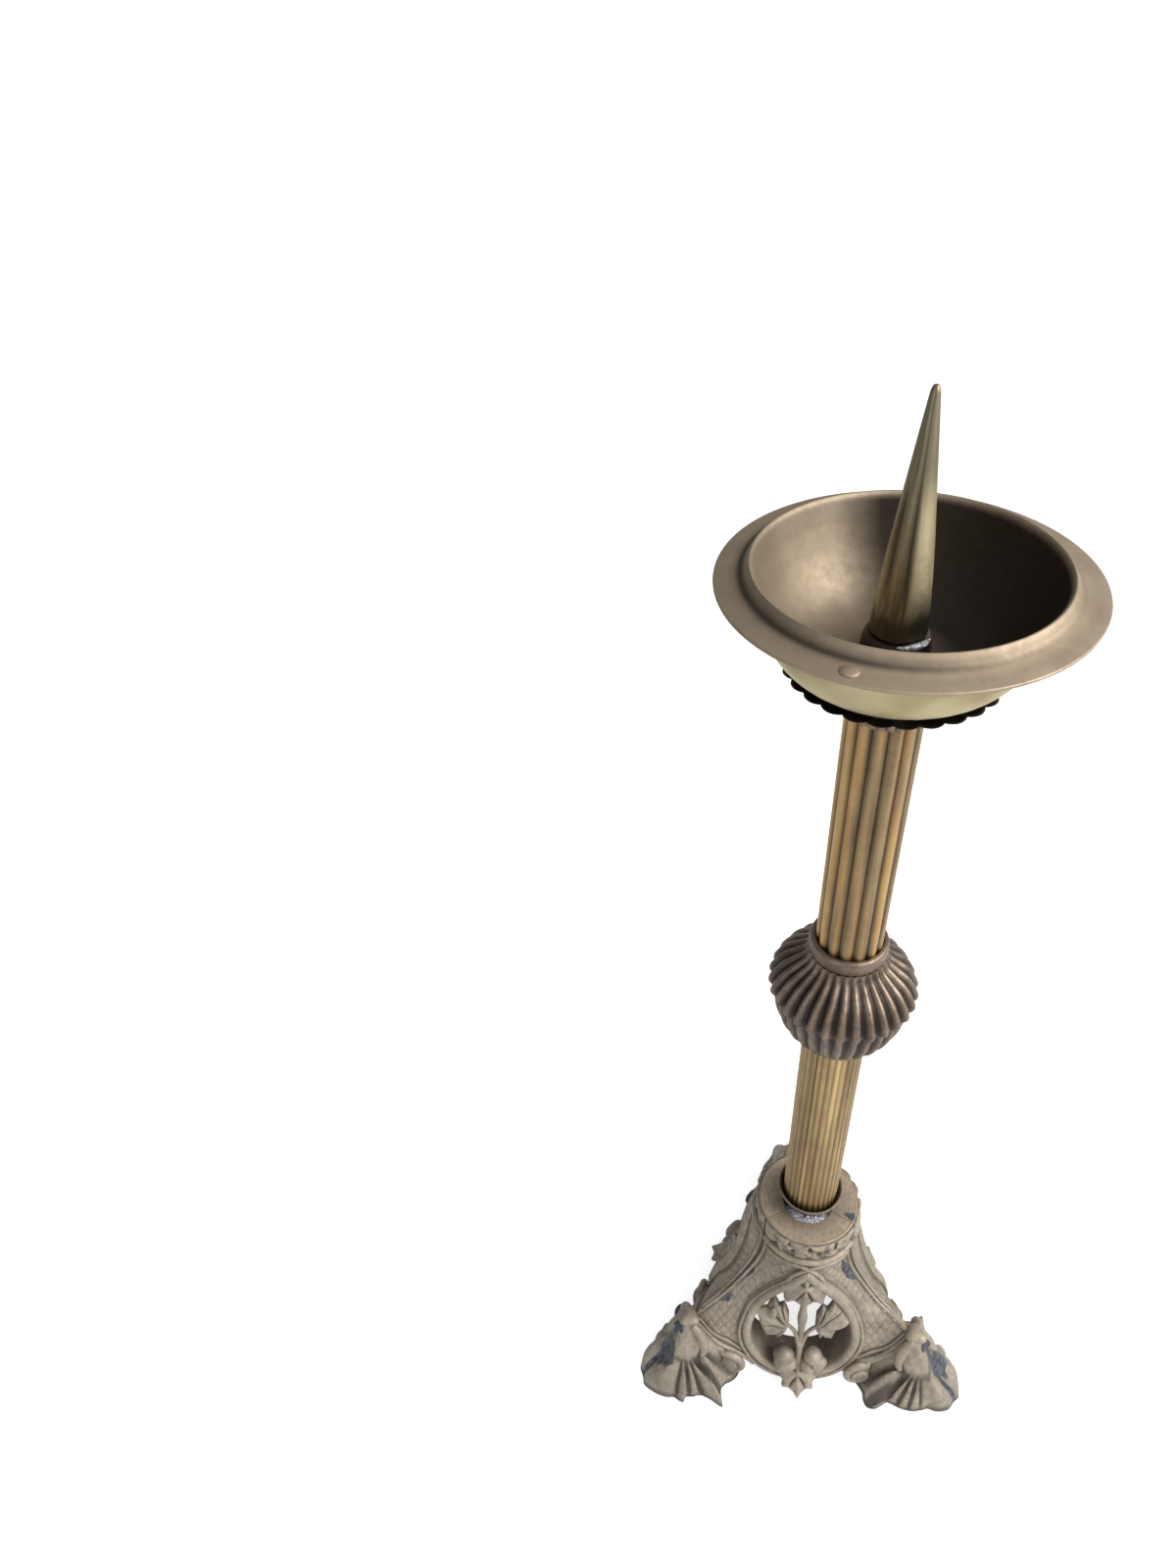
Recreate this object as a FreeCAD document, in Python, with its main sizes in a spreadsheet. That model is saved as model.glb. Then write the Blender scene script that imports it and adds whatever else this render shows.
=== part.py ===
import FreeCAD, Part
import Sketcher
import math
import os
from FreeCAD import Placement, Rotation, Vector

# A pricket candle stand in brass: three cast openwork faces soldered into a foot,
# two reeded tubes with a pleated knop between them, a pleated crown, a drip pan and
# a spike, all drawn together by one threaded rod. +Z is up, the origin is on the
# floor under the axis, and the front face looks towards -Y. Lengths are millimetres.

doc = FreeCAD.newDocument("pricket_candle_stand")
sheet = doc.addObject("Spreadsheet::Sheet", "sizes")

# Driving dimensions, one cell each, read by name everywhere else
SIZES = [
    # Base castings
    ("base_height", 132.0),
    ("plate_corner_radius", 28.3),
    ("plate_edge_radius", 27.8),
    ("plate_thickness", 3.0),
    ("wall_reach", 98.0),
    ("wall_depth", 49.6),
    ("face_wall", 3.2),
    ("joint_gap", 0.15),
    ("roll_rise", 1.6),
    ("roll_width", 3.6),
    ("round_height", 42.0),
    ("round_radius", 36.5),
    ("point_height", 109.0),
    ("ring_roll_width", 3.8),
    ("ring_groove_width", 0.6),
    ("ring_fillet_width", 1.8),
    ("top_band_height", 112.0),
    ("top_band_width", 4.5),
    ("arch_width", 3.4),
    ("arch_foot_width", 58.0),
    ("arch_foot_height", 39.0),
    ("arch_start_height", 20.0),
    # Leaf spray in each opening
    ("spray_rise", 2.4),
    ("stem_width", 4.6),
    ("top_leaf_length", 27.0),
    ("top_leaf_height", 73.0),
    ("side_leaf_length", 19.5),
    ("side_leaf_height", 57.0),
    ("side_leaf_start", 8.5),
    ("bud_radius", 5.8),
    ("bud_spread", 8.0),
    ("bud_height", 26.5),
    ("hanging_leaf_length", 18.0),
    ("hanging_leaf_height", 20.0),
    ("hanging_leaf_flare", 11.0),
    ("leaf_thickness", 3.0),
    # Leafy feet
    ("foot_height", 50.0),
    ("toe_reach", 110.0),
    ("foot_neck_reach", 81.0),
    ("foot_heel_reach", 59.0),
    ("foot_spread", 35.0),
    ("foot_neck_spread", 14.0),
    ("ear_radius", 4.2),
    # Solder
    ("solder_width", 2.2),
    ("solder_rise", 0.7),
    # Tie rod with its nut and washer
    ("rod_radius", 4.0),
    ("rod_clearance", 0.3),
    ("rod_tail", 6.0),
    ("rod_bite", 15.0),
    ("rod_chamfer", 0.8),
    ("nut_width", 13.0),
    ("nut_height", 6.5),
    ("washer_radius", 14.0),
    ("washer_thickness", 2.5),
    # Socket on the base plate
    ("spacer_radius", 12.6),
    ("spacer_height", 6.0),
    ("spacer_chamfer", 0.8),
    ("solder_ring_width", 2.4),
    ("solder_ring_height", 2.6),
    ("cup_height", 9.5),
    ("cup_rim_radius", 17.7),
    ("cup_foot_radius", 13.6),
    ("cup_wall", 1.0),
    ("cup_floor", 2.4),
    ("cup_round", 4.4),
    ("cup_round_height", 4.0),
    ("cup_tube_gap", 0.6),
    # Tubes
    ("tube_seat_gap", 0.3),
    ("lower_tube_radius", 14.7),
    ("lower_tube_length", 157.0),
    ("upper_tube_radius", 14.5),
    ("upper_tube_length", 131.0),
    ("tube_wall", 1.5),
    ("flute_count", 22),
    ("flute_radius", 0.85),
    ("reed_count", 14),
    ("reed_groove_radius", 0.8),
    ("disc_thickness", 3.0),
    # Knop
    ("knop_sink", 7.4),
    ("knop_lower_height", 36.5),
    ("knop_upper_height", 24.0),
    ("knop_radius", 33.2),
    ("knop_neck_gap", 0.3),
    ("knop_rib_depth", 2.6),
    ("knop_rib_count", 30),
    ("sheet_thickness", 0.9),
    ("sleeve_wall", 2.0),
    ("collar_height", 8.0),
    ("collar_radius", 17.2),
    ("collar_round", 1.2),
    ("tube_sink", 6.0),
    # Crown under the pan
    ("crown_height", 20.0),
    ("crown_radius", 39.5),
    ("crown_neck_radius", 16.0),
    ("crown_pleat_depth", 3.8),
    ("crown_pleat_count", 28),
    ("crown_floor", 1.5),
    # Pan support between crown and pan
    ("support_foot_radius", 10.5),
    ("support_head_radius", 20.0),
    ("support_waist_radius", 7.5),
    ("support_head_height", 3.0),
    ("support_round", 6.5),
    ("pan_lift", 19.5),
    # Drip pan
    ("pan_radius", 63.2),
    ("pan_rim_height", 32.5),
    ("pan_rim_thickness", 2.4),
    ("pan_lip_radius", 52.4),
    ("pan_lip_height", 38.9),
    ("pan_lip_width", 4.2),
    ("pan_floor_radius", 27.0),
    ("pan_wall", 3.0),
    ("pan_outer_round", 26.0),
    ("pan_inner_round", 24.0),
    ("pan_straight_height", 27.0),
    ("pan_flange_rise", 2.2),
    ("rivet_radius", 2.4),
    ("rivet_rise", 0.5),
    ("rivet_reach", 58.0),
    ("rivet_clearance", 0.1),
    # Pricket and its collar
    ("pricket_collar_radius", 12.4),
    ("pricket_collar_height", 9.6),
    ("pricket_radius", 10.2),
    ("pricket_length", 84.4),
    ("pricket_tip_radius", 1.1),
    # Overrun for every cut that goes past a surface, and how closely sewn faces meet
    ("overrun", 5.0),
    ("sewing_gap", 0.01),
]

for row, (name, number) in enumerate(SIZES, 1):
    sheet.set("B%d" % row, str(number))
    sheet.setAlias("B%d" % row, name)
doc.recompute()
size = {name: float(sheet.get(name)) for name, number in SIZES}

FACES = ("front", "right", "left")
THIRD_TURN = 120.0
HALF_CORNER = math.radians(THIRD_TURN / 2)


# Formulas are sums of sheet names such as "pan_radius - pan_wall*0.5"
def amount(formula):
    """The number that a formula of sheet names comes to."""
    value, sign = 0.0, 1.0
    for word in formula.split():
        if word in "+-":
            sign = -1.0 if word == "-" else 1.0
            continue
        name, _, share = word.partition("*")
        value += 0.0 if name == "0" else sign * size[name] * float(share or 1)
    return value


def bound(formula):
    """The same formula as an expression on the sheet's cells."""
    words = [word if word in "+-" or word == "0" else "sizes." + word for word in formula.split()]
    return " ".join(words)


# Bodies, sketches and the features that the turned pieces share
def new_body(label):
    body = doc.addObject("PartDesign::Body", label)
    body.Label = label
    return body


def new_sketch(body, name, plane):
    sketch = body.newObject("Sketcher::SketchObject", name)
    role = [item for item in body.Origin.OriginFeatures if item.Role == plane][0]
    sketch.AttachmentSupport = [(role, "")]
    sketch.MapMode = "FlatFace"
    return sketch


def pin(sketch, kind, edge, end, formula):
    """Holds one coordinate of an edge's end at a formula."""
    if formula == "0":
        axis = -2 if kind == "DistanceX" else -1
        sketch.addConstraint(Sketcher.Constraint("PointOnObject", edge, end, axis))
        return
    index = sketch.addConstraint(Sketcher.Constraint(kind, -1, 1, edge, end, amount(formula)))
    sketch.setExpression("Constraints[%d]" % index, bound(formula))


def profile(body, name, corners):
    """A closed half section: each corner is (radius, height) or (radius, height, arc radius,
    side), where the arc runs from this corner to the next and bulges to that side."""
    sketch = new_sketch(body, name, "XZ_Plane")
    places = [Vector(amount(c[0]), amount(c[1]), 0) for c in corners]
    for index, corner in enumerate(corners):
        start, end = places[index], places[(index + 1) % len(corners)]
        if len(corner) == 2:
            sketch.addGeometry(Part.LineSegment(start, end), False)
            continue
        chord = end - start
        across = Vector(-chord.y, chord.x, 0).normalize() * corner[3]
        radius = max(amount(corner[2]), chord.Length / 2)
        drop = math.sqrt(max(radius ** 2 - (chord.Length / 2) ** 2, 0))
        middle = (start + end) / 2 + across * (radius - drop)
        first, last = (start, end) if corner[3] < 0 else (end, start)
        sketch.addGeometry(Part.Arc(first, middle, last), False)
    for index, corner in enumerate(corners):
        following = (index + 1) % len(corners)
        first, second = end_of(sketch, index, places[following]), end_of(sketch, following, places[following])
        sketch.addConstraint(Sketcher.Constraint("Coincident", index, first, following, second))
        start = end_of(sketch, index, places[index])
        pin(sketch, "DistanceX", index, start, corner[0])
        pin(sketch, "DistanceY", index, start, corner[1])
        if len(corner) > 2:
            held = sketch.addConstraint(Sketcher.Constraint("Radius", index, amount(corner[2])))
            sketch.setExpression("Constraints[%d]" % held, bound(corner[2]))
    return sketch


def end_of(sketch, edge, place):
    """Which end of an edge, 1 or 2, lies at a place."""
    curve = sketch.Geometry[edge]
    return 1 if (curve.StartPoint - place).Length < (curve.EndPoint - place).Length else 2


def revolve(body, corners):
    """Turns a half section about the body's own vertical axis."""
    sketch = profile(body, body.Label + "_profile", corners)
    turned = body.newObject("PartDesign::Revolution", body.Label + "_turned")
    turned.Profile = sketch
    turned.ReferenceAxis = (sketch, ["V_Axis"])
    turned.Angle = 360
    sketch.Visibility = False
    return turned


def circles(body, name, radii):
    """A sketch of circles on the axis, each radius a formula."""
    sketch = new_sketch(body, name, "XY_Plane")
    for formula in radii:
        edge = sketch.addGeometry(Part.Circle(Vector(0, 0, 0), Vector(0, 0, 1), amount(formula)), False)
        sketch.addConstraint(Sketcher.Constraint("Coincident", edge, 3, -1, 1))
        held = sketch.addConstraint(Sketcher.Constraint("Radius", edge, amount(formula)))
        sketch.setExpression("Constraints[%d]" % held, bound(formula))
    return sketch


def pad(body, sketch, name, height):
    raised = body.newObject("PartDesign::Pad", name)
    raised.Profile = sketch
    raised.setExpression("Length", bound(height))
    return raised


def seat(piece, carrier, rise):
    """Stands a piece on its carrier, a formula above the carrier's own foot."""
    foot = carrier.Name + ".Placement.Base.z + " if carrier else ""
    piece.setExpression("Placement.Base.z", foot + "1 mm * (%s)" % bound(rise))


def drilled_disc(label, radius, height, carrier, rise, bore="rod_radius + rod_clearance"):
    """A flat round disc with a hole for the rod."""
    body = new_body(label)
    pad(body, circles(body, label + "_circles", [radius, bore]), label + "_pad", height)
    seat(body, carrier, rise)
    return body


def fluted_tube(label, radius, length, groove_radius, count, carrier, rise):
    """A tube with one round groove, repeated round it."""
    body = new_body(label)
    tube = pad(body, circles(body, label + "_circles", [radius, radius + " - tube_wall"]), label + "_pad", length)
    doc.recompute()
    before = tube.Shape.Volume
    sketch = new_sketch(body, label + "_groove", "XY_Plane")
    edge = sketch.addGeometry(
        Part.Circle(Vector(amount(radius), 0, 0), Vector(0, 0, 1), amount(groove_radius)), False)
    pin(sketch, "DistanceX", edge, 3, radius)
    sketch.addConstraint(Sketcher.Constraint("PointOnObject", edge, 3, -1))
    held = sketch.addConstraint(Sketcher.Constraint("Radius", edge, amount(groove_radius)))
    sketch.setExpression("Constraints[%d]" % held, bound(groove_radius))
    groove = body.newObject("PartDesign::Pocket", label + "_flute")
    groove.Profile = sketch
    groove.Type = 1
    groove.Reversed = True
    pattern = body.newObject("PartDesign::PolarPattern", label + "_flutes")
    pattern.Originals = [groove]
    pattern.Axis = (sketch, ["N_Axis"])
    pattern.Angle = 360
    pattern.setExpression("Occurrences", bound(count))
    body.Tip = pattern
    doc.recompute()
    if not pattern.Shape.Volume < before:
        raise ValueError(label + ": the flutes cut nothing")
    seat(body, carrier, rise)
    return body


def feature(label, shape):
    piece = doc.addObject("Part::Feature", label)
    piece.Label = label
    piece.Shape = shape
    return piece


# The curved wall of a base face, as level sections from the floor to the plate:
# share of the base height, then how far the corner has gone from the plate's corner
# to the wall's reach, then how far the middle has gone to the wall's depth
WALL_SHARES = [
    (0.00, 1.000, 1.000),
    (0.11, 0.912, 0.850),
    (0.27, 0.768, 0.633),
    (0.38, 0.684, 0.495),
    (0.43, 0.562, 0.435),
    (0.485, 0.376, 0.370),
    (0.545, 0.247, 0.305),
    (0.605, 0.146, 0.250),
    (0.67, 0.067, 0.200),
    (0.74, 0.018, 0.140),
    (0.82, 0.000, 0.080),
    (1.00, 0.000, 0.000),
]

# Where the arch beside the round bends, between its start and its foot
ARCH_BEND_SHARES = (0.42, 0.80)
# An ivy leaf from stalk to tip: half its outline as shares of its length across and along
LEAF_SHARES = [(0.05, 0.00), (0.27, -0.05), (0.46, 0.14), (0.32, 0.30), (0.50, 0.58), (0.24, 0.64), (0.00, 1.00)]
LEAF_SAG_SHARE = 0.42
SIDE_LEAF_LEAN = 78.0
STALK_DROP_SHARE = 1.3
STALK_BEND_SHARES = (0.30, 0.75)
BUD_DEPTH_SHARE = 0.72
# How far back through the wall the spray reaches
SPRAY_BACK_SHARE = 0.8
# Half a foot from above: its lobes as arcs, each with a point on the way and its end, in
# shares of the way from the heel out to the toe and of the spread sideways
LOBE_SHARES = [
    ((0.98, 0.22), (0.82, 0.42)),
    ((0.78, 0.66), (0.52, 0.70)),
    ((0.36, 0.84), (0.22, 1.00)),
    ((0.18, 0.86), (0.12, 0.74)),
    ((-0.06, 0.92), (-0.12, 0.60)),
]
# Height as a share of the foot, and how far the outline has opened from neck to floor
FOOT_SHARES = [(1.00, 0.00), (0.62, 0.20), (0.28, 0.50), (0.00, 1.00)]
# The hollow inside a foot, as a share of the foot's own size
HOLLOW_SHARE = 0.86


def between(first, last, share):
    return first + (last - first) * share


def curve(start, middle, end):
    """An arc through three points, or a line where they are in line."""
    bend = (middle - start).cross(end - start).Length
    if bend < (end - start).Length ** 2 / 1e5:
        return Part.LineSegment(start, end).toShape()
    return Part.Arc(start, middle, end).toShape()


def wall_layer(inside, outside):
    """The solid between two offsets from the wall's outer surface, minus being inwards."""
    wires = []
    for height_share, reach_share, depth_share in WALL_SHARES:
        height = size["base_height"] * height_share
        reach = between(size["plate_corner_radius"], size["wall_reach"], reach_share)
        depth = between(size["plate_edge_radius"], size["wall_depth"], depth_share)
        rows = []
        for offset in (inside, outside):
            corner = reach + offset / math.sin(HALF_CORNER)
            side = corner * math.sin(HALF_CORNER)
            back = corner * math.cos(HALF_CORNER)
            rows.append([Vector(-side, -back, height), Vector(0, -depth - offset, height),
                         Vector(side, -back, height)])
        inner, outer = rows
        wires.append(Part.Wire([
            curve(*outer),
            Part.LineSegment(outer[2], inner[2]).toShape(),
            curve(*reversed(inner)),
            Part.LineSegment(inner[0], outer[0]).toShape(),
        ]))
    return Part.makeLoft(wires, True, False)


def prism(steps):
    """A shape drawn on the front of a face and carried straight back through it. A step
    is (across, height) for a line, or a pair of such points for an arc through the first."""
    place, edges = Vector(steps[0][0], 0, steps[0][1]), []
    for step in steps[1:] + [steps[0]]:
        if isinstance(step[0], tuple):
            through, goal = (Vector(point[0], 0, point[1]) for point in step)
            edges.append(curve(place, through, goal))
        else:
            goal = Vector(step[0], 0, step[1])
            if (goal - place).Length < size["joint_gap"]:
                continue
            edges.append(Part.LineSegment(place, goal).toShape())
        place = goal
    reach = size["toe_reach"] + size["overrun"]
    return Part.Face(Part.Wire(edges)).extrude(Vector(0, -reach, 0))


def twin(shape):
    """A shape and its mirror image across the face's middle line."""
    return [shape, shape.mirror(Vector(0, 0, 0), Vector(1, 0, 0))]


def pointed_round(offset):
    """The opening's outline: a circle whose top runs on as two tangents to a point."""
    middle, radius = size["round_height"], size["round_radius"] - offset
    span = (size["point_height"] - middle) * radius / size["round_radius"]
    lean = math.acos(radius / span)
    side, rise = radius * math.sin(lean), radius * math.cos(lean)
    left, right = (-side, middle + rise), (side, middle + rise)
    return prism([left, (0, middle + span), right, ((0, middle - radius), left)])


def ring_band(outer_offset, inner_offset):
    return pointed_round(outer_offset).cut(pointed_round(inner_offset))


def arch_points():
    """The open arch beside the round: its start on the round, its bend and its foot."""
    rise = size["round_height"] - size["arch_start_height"]
    start = (math.sqrt(size["round_radius"] ** 2 - rise ** 2), size["arch_start_height"])
    foot = (size["arch_foot_width"], size["arch_foot_height"])
    bend = (between(start[0], foot[0], ARCH_BEND_SHARES[0]), between(start[1], foot[1], ARCH_BEND_SHARES[1]))
    return start, bend, foot


def arch_band():
    """The roll along the arch, from the round to the foot."""
    start, bend, foot = arch_points()
    lifted = [(point[0], point[1] + size["arch_width"]) for point in (start, bend, foot)]
    return prism([start, (bend, foot), lifted[2], (lifted[1], lifted[0])])


def wall_outline():
    """The face without its feet: an open arch on each side of the round's lower half."""
    start, bend, foot = arch_points()
    wide, top = size["toe_reach"] + size["overrun"], size["base_height"]
    left_start, left_bend, left_foot = ((-point[0], point[1]) for point in (start, bend, foot))
    return prism([
        start, (bend, foot), (wide, foot[1]), (wide, top), (-wide, top), (-wide, foot[1]), left_foot,
        (left_bend, left_start), ((0, size["round_height"] - size["round_radius"]), start),
    ])


def leaf(across, height, length, lean):
    """A leaf prism that starts at a point and leans by an angle from upright."""
    shares = LEAF_SHARES + [(-side, along) for side, along in reversed(LEAF_SHARES[:-1])]
    turn = math.radians(lean)
    return prism([(across + length * (side * math.cos(turn) + along * math.sin(turn)),
                   height + length * (along * math.cos(turn) - side * math.sin(turn)))
                  for side, along in shares])


def along_corner(side, out, sideways, height=0.0):
    """A point given by its distance out along a corner plane and sideways from it."""
    return Vector(side * (out * math.sin(HALF_CORNER) - sideways * math.cos(HALF_CORNER)),
                  -out * math.cos(HALF_CORNER) - sideways * math.sin(HALF_CORNER), height)


def half_foot(side, share=1.0):
    """A lofted half foot on one side of a corner, between its neck and the floor, or a
    smaller copy that shares its heel."""
    neck_length = size["foot_neck_reach"] - size["foot_heel_reach"]
    foot_length = size["toe_reach"] - size["foot_heel_reach"]
    wires = []
    for height_share, open_share in FOOT_SHARES:
        length = between(neck_length, foot_length, open_share) * share
        spread = between(size["foot_neck_spread"], size["foot_spread"], open_share) * share
        height = size["foot_height"] * height_share * share
        heel = along_corner(side, size["foot_heel_reach"], 0, height)
        last = along_corner(side, size["foot_heel_reach"] + length, 0, height)
        edges = [Part.LineSegment(heel, last).toShape()]
        for lobe in LOBE_SHARES:
            through, goal = (along_corner(side, size["foot_heel_reach"] + length * out, spread * across, height)
                             for out, across in lobe)
            edges.append(curve(last, through, goal))
            last = goal
        edges.append(Part.LineSegment(last, heel).toShape())
        wires.append(Part.Wire(edges))
    return Part.makeLoft(wires, True, True)


def corner_slab(side, near, far, bottom):
    """The space beside a corner plane, from one distance to another on the face's side."""
    reach = size["toe_reach"] + size["overrun"]
    floor = Part.makePolygon([along_corner(side, *spot, bottom)
                              for spot in ((0, near), (reach, near), (reach, far), (0, far), (0, near))])
    return Part.Face(floor).extrude(Vector(0, 0, size["base_height"] - bottom))


def face_sector():
    """The third of the foot that one casting fills, short of the seams by the joint gap."""
    reach = 2 * (size["toe_reach"] + size["overrun"])
    tip = Vector(0, -size["joint_gap"] / math.sin(HALF_CORNER), 0)
    left, right = (tip + along_corner(side, reach, 0) for side in (-1, 1))
    return Part.Face(Part.makePolygon([tip, left, right, tip])).extrude(Vector(0, 0, size["base_height"]))


def plate_third():
    """The top plate's share of one casting, with its part of the rod's hole."""
    top, down = size["base_height"], Vector(0, 0, -size["plate_thickness"])
    left, right = (along_corner(side, size["plate_corner_radius"], 0, top) for side in (-1, 1))
    centre, middle = Vector(0, 0, top), Vector(0, -size["plate_edge_radius"], top)
    outline = Part.Wire([Part.LineSegment(centre, left).toShape(), curve(left, middle, right),
                         Part.LineSegment(right, centre).toShape()])
    hole = Part.makeCylinder(size["rod_radius"] + size["rod_clearance"], size["base_height"])
    return Part.Face(outline).extrude(down).cut(hole)


def hanging_leaf():
    """The leaf under the round, which curls away from the face towards its tip."""
    length, top = size["hanging_leaf_length"], size["hanging_leaf_height"]
    bottom = top - length
    rise = size["round_height"] - size["round_radius"]
    back = size["wall_depth"] - size["leaf_thickness"]
    lift = size["hanging_leaf_flare"]
    thick = size["leaf_thickness"]
    near, far = Vector(0, -back, top), Vector(0, -back - lift, bottom)
    sag = Vector(0, -back - lift * LEAF_SAG_SHARE, rise)
    step = Vector(0, -thick, 0)
    side = Part.Wire([curve(near, sag, far), Part.LineSegment(far, far + step).toShape(),
                      curve(far + step, sag + step, near + step), Part.LineSegment(near + step, near).toShape()])
    wide = Vector(length, 0, 0)
    slab = Part.Face(side).extrude(wide * 2)
    slab.translate(-wide)
    return slab.common(leaf(0, top, length, 180))


def face_casting():
    """One openwork face with its rolls, leaf spray, third of the plate and two half feet."""
    wall = wall_layer(-size["face_wall"], 0.0).common(wall_outline())
    fillet, groove = size["ring_fillet_width"], size["ring_groove_width"]
    inner_edge = fillet + groove + size["ring_roll_width"]
    wall = wall.cut(pointed_round(inner_edge + groove / 2))
    band_top = size["top_band_height"] + size["top_band_width"]
    wide = size["toe_reach"]
    drawn = [ring_band(0.0, fillet), ring_band(fillet + groove, inner_edge),
             prism([(-wide, size["top_band_height"]), (wide, size["top_band_height"]),
                    (wide, band_top), (-wide, band_top)])]
    drawn += twin(arch_band())
    drawn += [corner_slab(side, size["solder_width"] / 2, size["solder_width"] / 2 + size["roll_width"],
                          size["foot_height"]) for side in (-1, 1)]
    rolls = wall_layer(-size["face_wall"] / 2, size["roll_rise"])
    rolls = rolls.common(drawn[0].multiFuse(drawn[1:]))
    low = size["round_height"] - size["round_radius"] + inner_edge
    stem = prism([(-size["stem_width"] / 2, low - inner_edge / 2), (size["stem_width"] / 2, low - inner_edge / 2),
                  (size["stem_width"] / 2, size["top_leaf_height"] + size["stem_width"]),
                  (-size["stem_width"] / 2, size["top_leaf_height"] + size["stem_width"])])
    leaves = [leaf(0, size["top_leaf_height"], size["top_leaf_length"], 0)]
    leaves += twin(leaf(size["side_leaf_start"], size["side_leaf_height"], size["side_leaf_length"], SIDE_LEAF_LEAN))
    leaves += twin(stalk())
    spray = wall_layer(-size["face_wall"] * SPRAY_BACK_SHARE, size["spray_rise"])
    spray = spray.common(stem.multiFuse(leaves))
    pieces = [rolls, spray, plate_third(), hanging_leaf()]
    for side in (-1, 1):
        pieces.append(half_foot(side).cut(half_foot(side, HOLLOW_SHARE)))
        ear = along_corner(side, size["foot_neck_reach"] - size["ear_radius"], size["ear_radius"] / 2,
                           size["foot_height"])
        pieces.append(Part.makeSphere(size["ear_radius"], ear, Vector(side, 0, 0)))
        depth = between(size["plate_edge_radius"], size["wall_depth"], BUD_DEPTH_SHARE)
        pieces.append(Part.makeSphere(size["bud_radius"], Vector(side * size["bud_spread"], -depth, size["bud_height"])))
    for piece in pieces:
        wall = wall.fuse(piece)
    return wall.common(face_sector()).removeSplitter()


def stalk():
    """The short stalk that curves from the stem up to a side leaf."""
    start, goal = (0, size["side_leaf_height"] - size["side_leaf_start"] * STALK_DROP_SHARE), (
        size["side_leaf_start"] + size["stem_width"] / 2, size["side_leaf_height"])
    bend = (between(start[0], goal[0], STALK_BEND_SHARES[0]), between(start[1], goal[1], STALK_BEND_SHARES[1]))
    thick = size["stem_width"] / 2
    lifted = [(point[0] - thick, point[1] + thick) for point in (start, bend, goal)]
    return prism([start, (bend, goal), lifted[2], (lifted[1], lifted[0])])


def solder_seam():
    """The solder bead that lies over one corner's seam, from the ear to the plate."""
    layer = wall_layer(0.0, size["solder_rise"])
    side = layer.common(corner_slab(1, 0, size["solder_width"] / 2 - size["joint_gap"],
                                    size["foot_height"] + size["ear_radius"] * 2))
    other = side.mirror(Vector(0, 0, 0), Vector(math.cos(HALF_CORNER), math.sin(HALF_CORNER), 0))
    return side.fuse(other).removeSplitter()


# Pleated sheet: a ring of ribs, each a flat crest with a sharp valley, so three corners
PLEAT_SHARES = [(-0.26, 1.0), (0.26, 1.0), (0.50, 0.0)]


def pleated_wire(height, crest, depth, count):
    """One level of a pleated sheet as a closed polygon."""
    corners = []
    for pleat in range(int(round(count))):
        for turn_share, rise_share in PLEAT_SHARES:
            angle = 2 * math.pi * (pleat + turn_share) / int(round(count))
            radius = crest - depth * (1.0 - rise_share)
            corners.append(Vector(radius * math.cos(angle), radius * math.sin(angle), height))
    return Part.makePolygon(corners + corners[:1])


def pleated_shell(levels, count, thickness, floor=0.0):
    """A pleated sheet through levels of (height, crest radius, pleat depth), whose inner
    side follows the outer one a sheet thickness further in. It is open at both ends, or
    closed by a flat floor with the rod's hole in it."""
    outer = [pleated_wire(height, crest, depth, count) for height, crest, depth in levels]
    inner_levels = [(height, crest - thickness, depth) for height, crest, depth in levels]
    if floor:
        low, high = inner_levels[:2]
        inner_levels[0] = tuple(between(start, end, floor / high[0]) for start, end in zip(low, high))
    inner = [pleated_wire(height, crest, depth, count) for height, crest, depth in inner_levels]
    faces = Part.makeLoft(outer, False, True).Faces + Part.makeLoft(inner, False, True).Faces
    faces.append(Part.Face([outer[-1], inner[-1]]))
    if floor:
        bore = Part.makeCylinder(size["rod_radius"] + size["rod_clearance"], floor)
        rims = sorted((Part.Wire(face.OuterWire.Edges) for face in bore.Faces
                       if face.Surface.TypeId == "Part::GeomPlane"), key=lambda wire: wire.BoundBox.ZMin)
        faces += [face for face in bore.Faces if face.Surface.TypeId != "Part::GeomPlane"]
        faces += [Part.Face([outer[0], rims[0]]), Part.Face([inner[0], rims[1]])]
    else:
        faces.append(Part.Face([outer[0], inner[0]]))
    shell = Part.makeShell(faces)
    shell.sewShape()
    solid = Part.Solid(shell)
    solid.fix(size["sewing_gap"], size["sewing_gap"], size["sewing_gap"])
    return solid


def levels_from(shares, height, inner_radius, outer_radius, depth):
    """Levels of a pleated shell from shares of its height, its spread and its pleat depth."""
    return [(height * rise, between(inner_radius, outer_radius, spread), depth * deep)
            for rise, spread, deep in shares]


# Levels of the pleated pieces: share of the height, of the way from neck to widest
# radius, and of the pleat's depth
KNOP_LOWER_SHARES = [(0.00, 0.00, 0.50), (0.14, 0.18, 0.70), (0.36, 0.58, 0.95), (0.60, 0.83, 1.00),
                     (0.82, 0.96, 1.00), (1.00, 1.00, 1.00)]
KNOP_UPPER_SHARES = [(0.00, 1.00, 1.00), (0.23, 0.92, 1.00), (0.48, 0.68, 0.95), (0.69, 0.35, 0.80),
                     (0.86, 0.09, 0.60), (1.00, 0.00, 0.40)]
CROWN_SHARES = [(0.00, 0.00, 0.30), (0.20, 0.065, 0.40), (0.45, 0.28, 0.65), (0.70, 0.55, 0.85),
                (0.90, 0.83, 1.00), (1.00, 1.00, 1.00)]
RIVET_TURN = 247.0


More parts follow.
